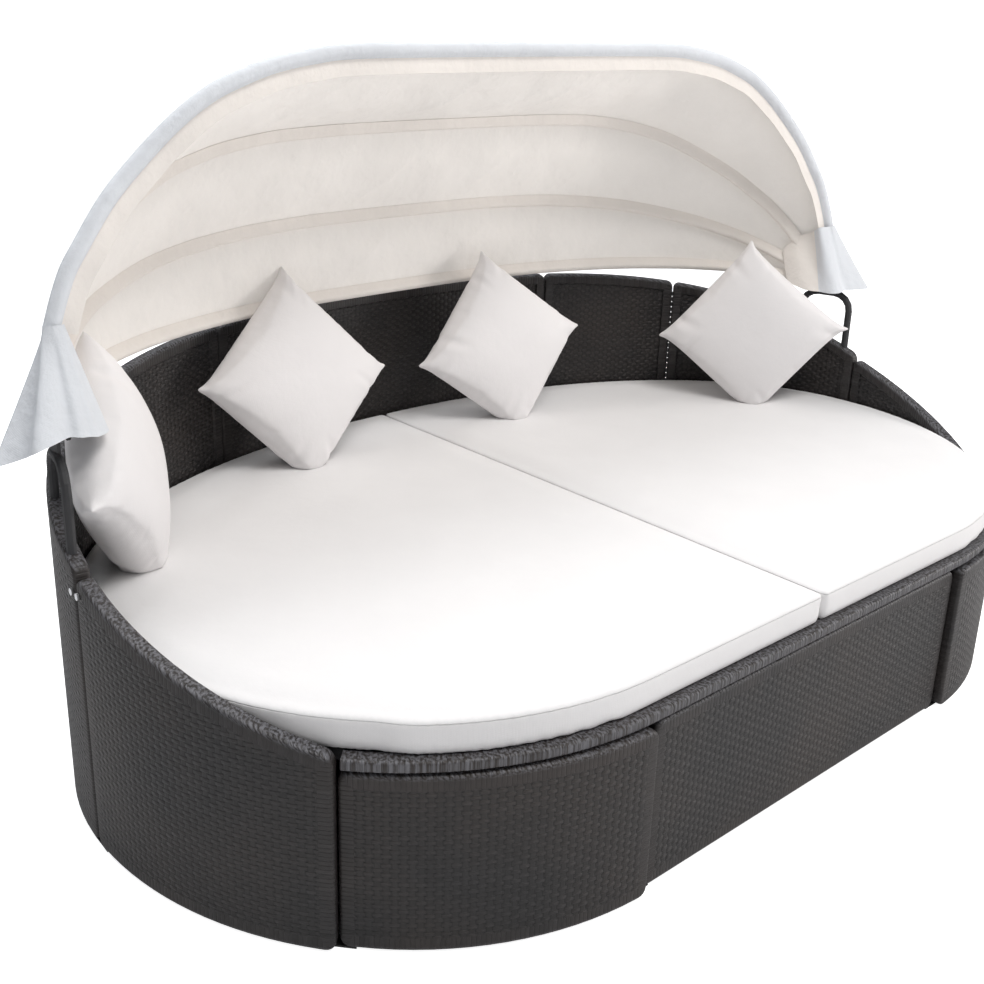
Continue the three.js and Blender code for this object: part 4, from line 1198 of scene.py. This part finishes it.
def pattern(**inputs):
    """Makes a node group of a pattern with these inputs, once; called with a tree, the pattern is placed there."""
    def wrap(build):
        name = build.__name__.replace("_", " ")

        def made_group():
            tree = bpy.data.node_groups.new(name, "ShaderNodeTree")
            for label, value in inputs.items():
                kind = "NodeSocketVector" if value is None else "NodeSocketFloat"
                made = tree.interface.new_socket(name=label.replace("_", " "), in_out="INPUT", socket_type=kind)
                if value is not None:
                    made.default_value = value
            given = Outputs(tree.nodes.new("NodeGroupInput"))
            results = build(*(given[place] for place in range(len(inputs))))
            for label in results:
                tree.interface.new_socket(name=label, in_out="OUTPUT", socket_type="NodeSocketFloat")
            feed(tree.nodes.new("NodeGroupOutput"), results)
            return tree

        def placed(tree, *values):
            group = bpy.data.node_groups.get(name) or made_group()
            return node(tree, "Group", enumerate(values), node_tree=group)

        return placed

    return wrap


def crowned(within, power):
    """Rounding across a strip, from its share of the strip's width."""
    return 1.0 - (within * 2.0 - 1.0).absolute() ** power


@pattern(Along=0, Up=0, Stake_Pitch=0.0135, Strip_Pitch=0.0085)
def strip_weave(along, up, stake_pitch, strip_pitch):
    """Flat strips passing over and under upright stakes."""
    along, up = along / stake_pitch, up / strip_pitch
    row = up.floor()
    wave = ((along + row) * math.pi).sine()
    strip = wave.times_plus(0.5, 0.5) * crowned(up - row, 4.0)
    stake = (along * math.pi).sine().absolute().smooth_minimum(0.75, 0.1) * 0.55
    height = strip.smooth_maximum(stake, 0.08)
    cell = node(along.socket.id_data, "CombineXYZ", {0: along.floor(), 1: row})[0]
    shade = speckle("Vector", cell, "2D").times_plus(0.5, speckle("W", row, "1D") * 0.5)
    return {"Height": height, "Gap": ramp(height, 0.55, 0.12), "Shade": shade}


@pattern(Run=0, Pitch=0.008)
def strip_wrap(run, pitch):
    """Strip wound round a tube: narrow bands side by side."""
    run = run / pitch
    turn = run.floor()
    height = crowned(run - turn, 5.0)
    return {"Height": height, "Gap": ramp(height, 0.35, 0.0), "Shade": speckle("W", turn, "1D")}


@pattern(Place=None, Pitch=0.0012)
def cloth_threads(place, pitch):
    """Plain weave of fine threads, with slubs."""
    waves = [(parts(place)[axis] / pitch * math.pi).sine() for axis in range(3)]
    height = waves[0] * waves[1] + waves[1] * waves[2]
    return {"Height": height.times_plus(0.25, 0.5), "Slub": noise(place, 240, 3)}


@pattern(Inside=0, Below=0, Drop=0.0065, Width=0.0011)
def sewn_seam(inside, below, drop, width):
    """Line of a seam that runs along the upper edge of a cover, a little below it."""
    line = (1.0 - (below - drop).absolute() / width).maximum(0.0)
    return {"Line": line * (inside < 0.012)}


def new_material(name):
    material = bpy.data.materials.new(name)
    material.use_nodes = True
    tree = material.node_tree
    return material, tree, tree.nodes["Principled BSDF"]


def bumped(surface, height, distance, strength=1.0):
    inputs = {"Height": height, "Distance": distance, "Strength": strength}
    feed(surface, {"Normal": node(surface.id_data, "Bump", inputs)[0]})


def woven_material():
    if known := bpy.data.materials.get("woven_strips"):
        return known
    size, tint = sizes(), colours()
    material, tree, surface = new_material("woven_strips")
    along, up, _ = parts(uv_map(tree, "weave"))
    from_end, from_top, _ = parts(uv_map(tree, "border"))
    is_border = from_end.minimum(from_top) < size.border_width - MM
    run = chosen(from_end < from_top, along, up)
    weave = strip_weave(tree, along, up, size.stake_pitch, size.strip_pitch)
    wrap = strip_wrap(tree, run, size.wrap_pitch)
    height = chosen(is_border, weave["Height"], wrap["Height"] * 0.28)
    gap = chosen(is_border, weave["Gap"], wrap["Gap"])
    shade = chosen(is_border, weave["Shade"], wrap["Shade"])
    place = object_place(tree)
    cloud, scuff = noise(place, 5, 4), noise(place, 120, 5)
    base = blended(shade, dimmed(tint.strips, 0.75), dimmed(tint.strips, 1.5))
    base = blended(ramp(cloud, 0.35, 0.7, high=0.6), base, tint.strips_brown)
    # Lighter streaks along the top edges and all over the rim: partly scuffed wear, partly painted sheen on the
    # tops that face the light
    streak_run = node(tree, "CombineXYZ", {0: along * 55.0, 1: from_top * 420.0})[0]
    streak_deep = node(tree, "VectorMath", {0: place, 1: (160.0, 160.0, 0.0)}, operation="MULTIPLY")[0]
    streak = noise(node(tree, "VectorMath", {0: streak_run, 1: streak_deep})[0], 1, 3)
    edge = ramp(from_top, 0.009, 0.001)
    base = blended(ramp(streak, 0.42, 0.6) * edge * 0.8, base, tint.strips_worn)
    # Painted shade in the gaps of the weave: strong in the field, weak on the wrapped borders
    base = blended(gap * chosen(is_border, 0.9, 0.3), base, tint.strips_deep)
    feed(surface, {"Base Color": base, "Roughness": ramp(scuff, 0, 1, 0.38, 0.62), "Specular IOR Level": 0.42})
    bumped(surface, height, 0.003)
    return material


def canvas_material(name):
    """Canvas of the canopy: its outside, its inside, or a darker copy of the inside with painted shade for the
    doubled cloth of the pockets, the sleeve's web and the inner part of the right flap.
    """
    if known := bpy.data.materials.get(name):
        return known
    tint = colours()
    inside = tint.canvas_inside
    tone = {
        "canvas_outside": tint.canvas_outside[:],
        "canvas_inside": inside[:],
        # Painted shade: a darker copy of the inner canvas
        "canvas_pocket": [share * c for share, c in zip((0.97, 0.95, 0.935, 1), inside)],
    }[name]
    material, tree, surface = new_material(name)
    place, solid = uv_map(tree, "cloth"), object_place(tree)
    threads = cloth_threads(tree, place, 0.0014)
    darker = dimmed(tone, 0.9)
    base = blended(ramp(noise(solid, 3, 3), 0.35, 0.75), tone, darker)
    base = blended(threads["Slub"] * 0.15, base, darker)
    # Painted shade: the inner face is darker at the start of each gore, just behind the hoop it hangs from, and
    # fades within 0.1 m
    if name == "canvas_inside":
        shade_below_hoop = ramp(parts(place)[1], 0.1, 0.0, high=0.85, interpolation_type="SMOOTHSTEP")
        base = blended(shade_below_hoop, base, dimmed(tone, 0.84))
    # Painted glow: the inner canvas and its shaded copy give off light of their own, standing in for light that
    # comes through the cloth
    if name != "canvas_outside":
        feed(surface, {"Emission Color": base, "Emission Strength": 0.2 if name == "canvas_inside" else 0.1})
    feed(surface, {"Base Color": base, "Roughness": 0.92, "Specular IOR Level": 0.2})
    bumped(surface, threads["Height"].times_plus(0.03, noise(solid, 9, 6, 0.55)), 0.02, 0.7)
    return material


def cushion_material(name, tone, scale, sewn=False):
    material, tree, surface = new_material(name)
    solid = object_place(tree)
    threads = cloth_threads(tree, solid, 0.0016)
    creases = noise(solid, scale, 5)
    darker = dimmed(tone, 0.93)
    base = blended(creases * 0.7, tone[:], darker)
    base = blended(threads["Slub"] * 0.12, base, darker)
    height = threads["Height"].times_plus(0.04, creases)
    if sewn:
        inside, below, _ = parts(uv_map(tree, "edge"))
        line = sewn_seam(tree, inside, below)["Line"]
        base = blended(line * 0.45, base, dimmed(tone, 0.6))
        height = height - line
    feed(surface, {"Base Color": base, "Roughness": 0.88, "Specular IOR Level": 0.25})
    bumped(surface, height, 0.006, 0.5)
    return material


def plain_finish(name, tone, roughness, metallic, grain, depth):
    """Painted, plated or moulded surface with a fine grain and slight unevenness in its sheen."""
    material, tree, surface = new_material(name)
    solid = object_place(tree)
    broad = noise(solid, grain / 14, 3)
    lighter = [min(1.35 * c + 0.01, 1) for c in tone[:3]] + [1]
    feed(surface, {
        "Base Color": blended(broad, tone[:], lighter), "Metallic": metallic,
        "Roughness": ramp(broad, 0, 1, roughness - 0.1, roughness + 0.12),
    })
    bumped(surface, noise(solid, grain, 4), depth, 0.4)
    return material


def webbing_material():
    material, tree, surface = new_material("seat_webbing")
    across, along, _ = parts(object_place(tree))
    weave = strip_weave(tree, across, along, 0.05, 0.05)
    tone = colours().webbing
    # The gaps of the webbing are painted darker: painted shade
    feed(surface, {"Base Color": blended(weave["Gap"], tone[:], dimmed(tone, 0.4)), "Roughness": 0.8})
    bumped(surface, weave["Height"], 0.0015)
    return material


class DAYBED_OT_metalwork(bpy.types.Operator):
    """Finishes of the hoops, brackets, fasteners, seat frame and feet"""

    bl_idname = "daybed.metalwork"
    bl_label = "Metalwork and feet"

    def execute(self, context):
        tint = colours()
        paint = plain_finish("powder_coat", tint.frame_paint, 0.62, 0, 900.0, 0.0002)
        zinc = plain_finish("zinc_plate", tint.zinc, 0.3, 1, 1200.0, 0.0001)
        moulded = plain_finish("moulded_feet", tint.feet, 0.6, 0, 1400.0, 0.0002)
        finishes = {
            "hoop": paint, "canopy_bracket": paint, "seat_frame": paint, "centre_trestle": paint,
            "front_ledger": paint, "side_ledger": paint, "arm_bolt": zinc, "corner_bolt": zinc,
            "hinge_pin": zinc, "hinge_nut": zinc, "seam_foot": moulded, "trestle_foot": moulded,
            "rim_batten": moulded, "seat_deck": webbing_material(),
        }
        for name, obj in frame["nodes"].items():
            for start, material in finishes.items():
                if name.startswith(start):
                    give(obj, material)
        return {"FINISHED"}


# Stage


# Radii of the dark part of the floor inside the walls, round each end of the straight front
FLOOR_ROUND = (0.665, 0.66)


def soft_light(name, place, target, wide, power, tone):
    bpy.ops.object.light_add(type="AREA", location=place)
    obj = bpy.context.object
    obj.name = name
    obj.rotation_euler = (Vector(target) - Vector(place)).to_track_quat("-Z", "Y").to_euler()
    light = obj.data
    light.shape, light.size, light.size_y = "RECTANGLE", wide, wide * 0.7
    light.energy, light.color = power, tone


def studio_floor():
    """Pale floor that is lit up for the camera, but not inside the oval, where it would shine through the seams."""
    bpy.ops.mesh.primitive_plane_add(size=40, location=(0, 0, -0.5 * MM))
    floor = added("studio_floor")
    material, tree, surface = new_material("studio_floor")
    solid, tone = object_place(tree), colours().floor
    x, y, _ = parts(solid)
    round_across, round_back = FLOOR_ROUND
    across = ((x.absolute() - sizes().straight_half).maximum(0.0) / round_across) ** 2.0
    outside = (across + (y / round_back) ** 2.0) > 0.97
    seen = node(tree, "LightPath")["Is Camera Ray"]
    feed(surface, {
        "Base Color": blended(noise(solid, 2), tone[:], dimmed(tone, 0.985)), "Roughness": 0.9,
        "Emission Color": (1, 1, 1, 1), "Emission Strength": seen * outside * 0.88,
    })
    give(floor, material)


class DAYBED_OT_stage(bpy.types.Operator):
    """Pale floor, soft light and the camera at the angle of the photograph"""

    bl_idname = "daybed.stage"
    bl_label = "Studio"

    def execute(self, context):
        put_down()
        studio_floor()
        scene = context.scene
        scene.world = bpy.data.worlds.new("studio")
        scene.world.use_nodes = True
        air = scene.world.node_tree
        seen = node(air, "LightPath")["Is Camera Ray"]
        feed(air.nodes["Background"], {0: (0.97, 0.98, 1, 1), 1: seen.times_plus(0.95, 0.32)})
        soft_light("key_light", (-0.2, -2.7, 5.6), (0, 0, 0.4), 2.8, 165, (1, 0.985, 0.97))
        soft_light("side_light", (4.2, -3.0, 1.5), (0.3, -0.6, 0.3), 1.8, 95, (1, 0.96, 0.93))
        soft_light("sky_light", (-0.8, 1.6, 5.0), (0, 0, 0.7), 3.4, 130, (0.97, 0.98, 1))
        scene.view_settings.view_transform = "Standard"
        camera = bpy.data.cameras.new("photo_camera")
        camera.sensor_width, camera.lens = 36, 41.44
        camera.shift_x, camera.shift_y = 0.1096, -0.0739
        holder = bpy.data.objects.new("photo_camera", camera)
        scene.collection.objects.link(holder)
        holder.location = (-1.7562, -1.6740, 1.3500)
        holder.rotation_euler = (math.radians(71.87), 0, math.radians(-36.96))
        scene.camera = holder
        return {"FINISHED"}


PIECES = (
    DAYBED_OT_woven_panels,
    DAYBED_OT_front_rim,
    DAYBED_OT_mattress,
    DAYBED_OT_pillows,
    DAYBED_OT_canopy_cloth,
    DAYBED_OT_hoop_pockets,
    DAYBED_OT_front_sleeve,
    DAYBED_OT_hinge_flaps,
    DAYBED_OT_metalwork,
    DAYBED_OT_stage,
)


class DAYBED_PT_sidebar(bpy.types.Panel):
    """Pieces, sizes and colours of the daybed"""

    bl_idname = "DAYBED_PT_sidebar"
    bl_label = "Oval daybed"
    bl_space_type = "VIEW_3D"
    bl_region_type = "UI"
    bl_category = "Daybed"

    def draw(self, context):
        for piece in PIECES:
            self.layout.operator(piece.bl_idname)
        for group in (context.scene.daybed_sizes, context.scene.daybed_colours):
            box = self.layout.box()
            for name in group.__annotations__:
                box.prop(group, name)


CLASSES = (DaybedSizes, DaybedColours, *PIECES, DAYBED_PT_sidebar)


def register():
    for item in CLASSES:
        bpy.utils.register_class(item)
    bpy.types.Scene.daybed_sizes = PointerProperty(type=DaybedSizes)
    bpy.types.Scene.daybed_colours = PointerProperty(type=DaybedColours)


def unregister():
    del bpy.types.Scene.daybed_colours
    del bpy.types.Scene.daybed_sizes
    for item in reversed(CLASSES):
        bpy.utils.unregister_class(item)


def main():
    register()
    for piece in PIECES:
        section, name = piece.bl_idname.split(".")
        getattr(getattr(bpy.ops, section), name)()


if __name__ == "__main__":
    main()
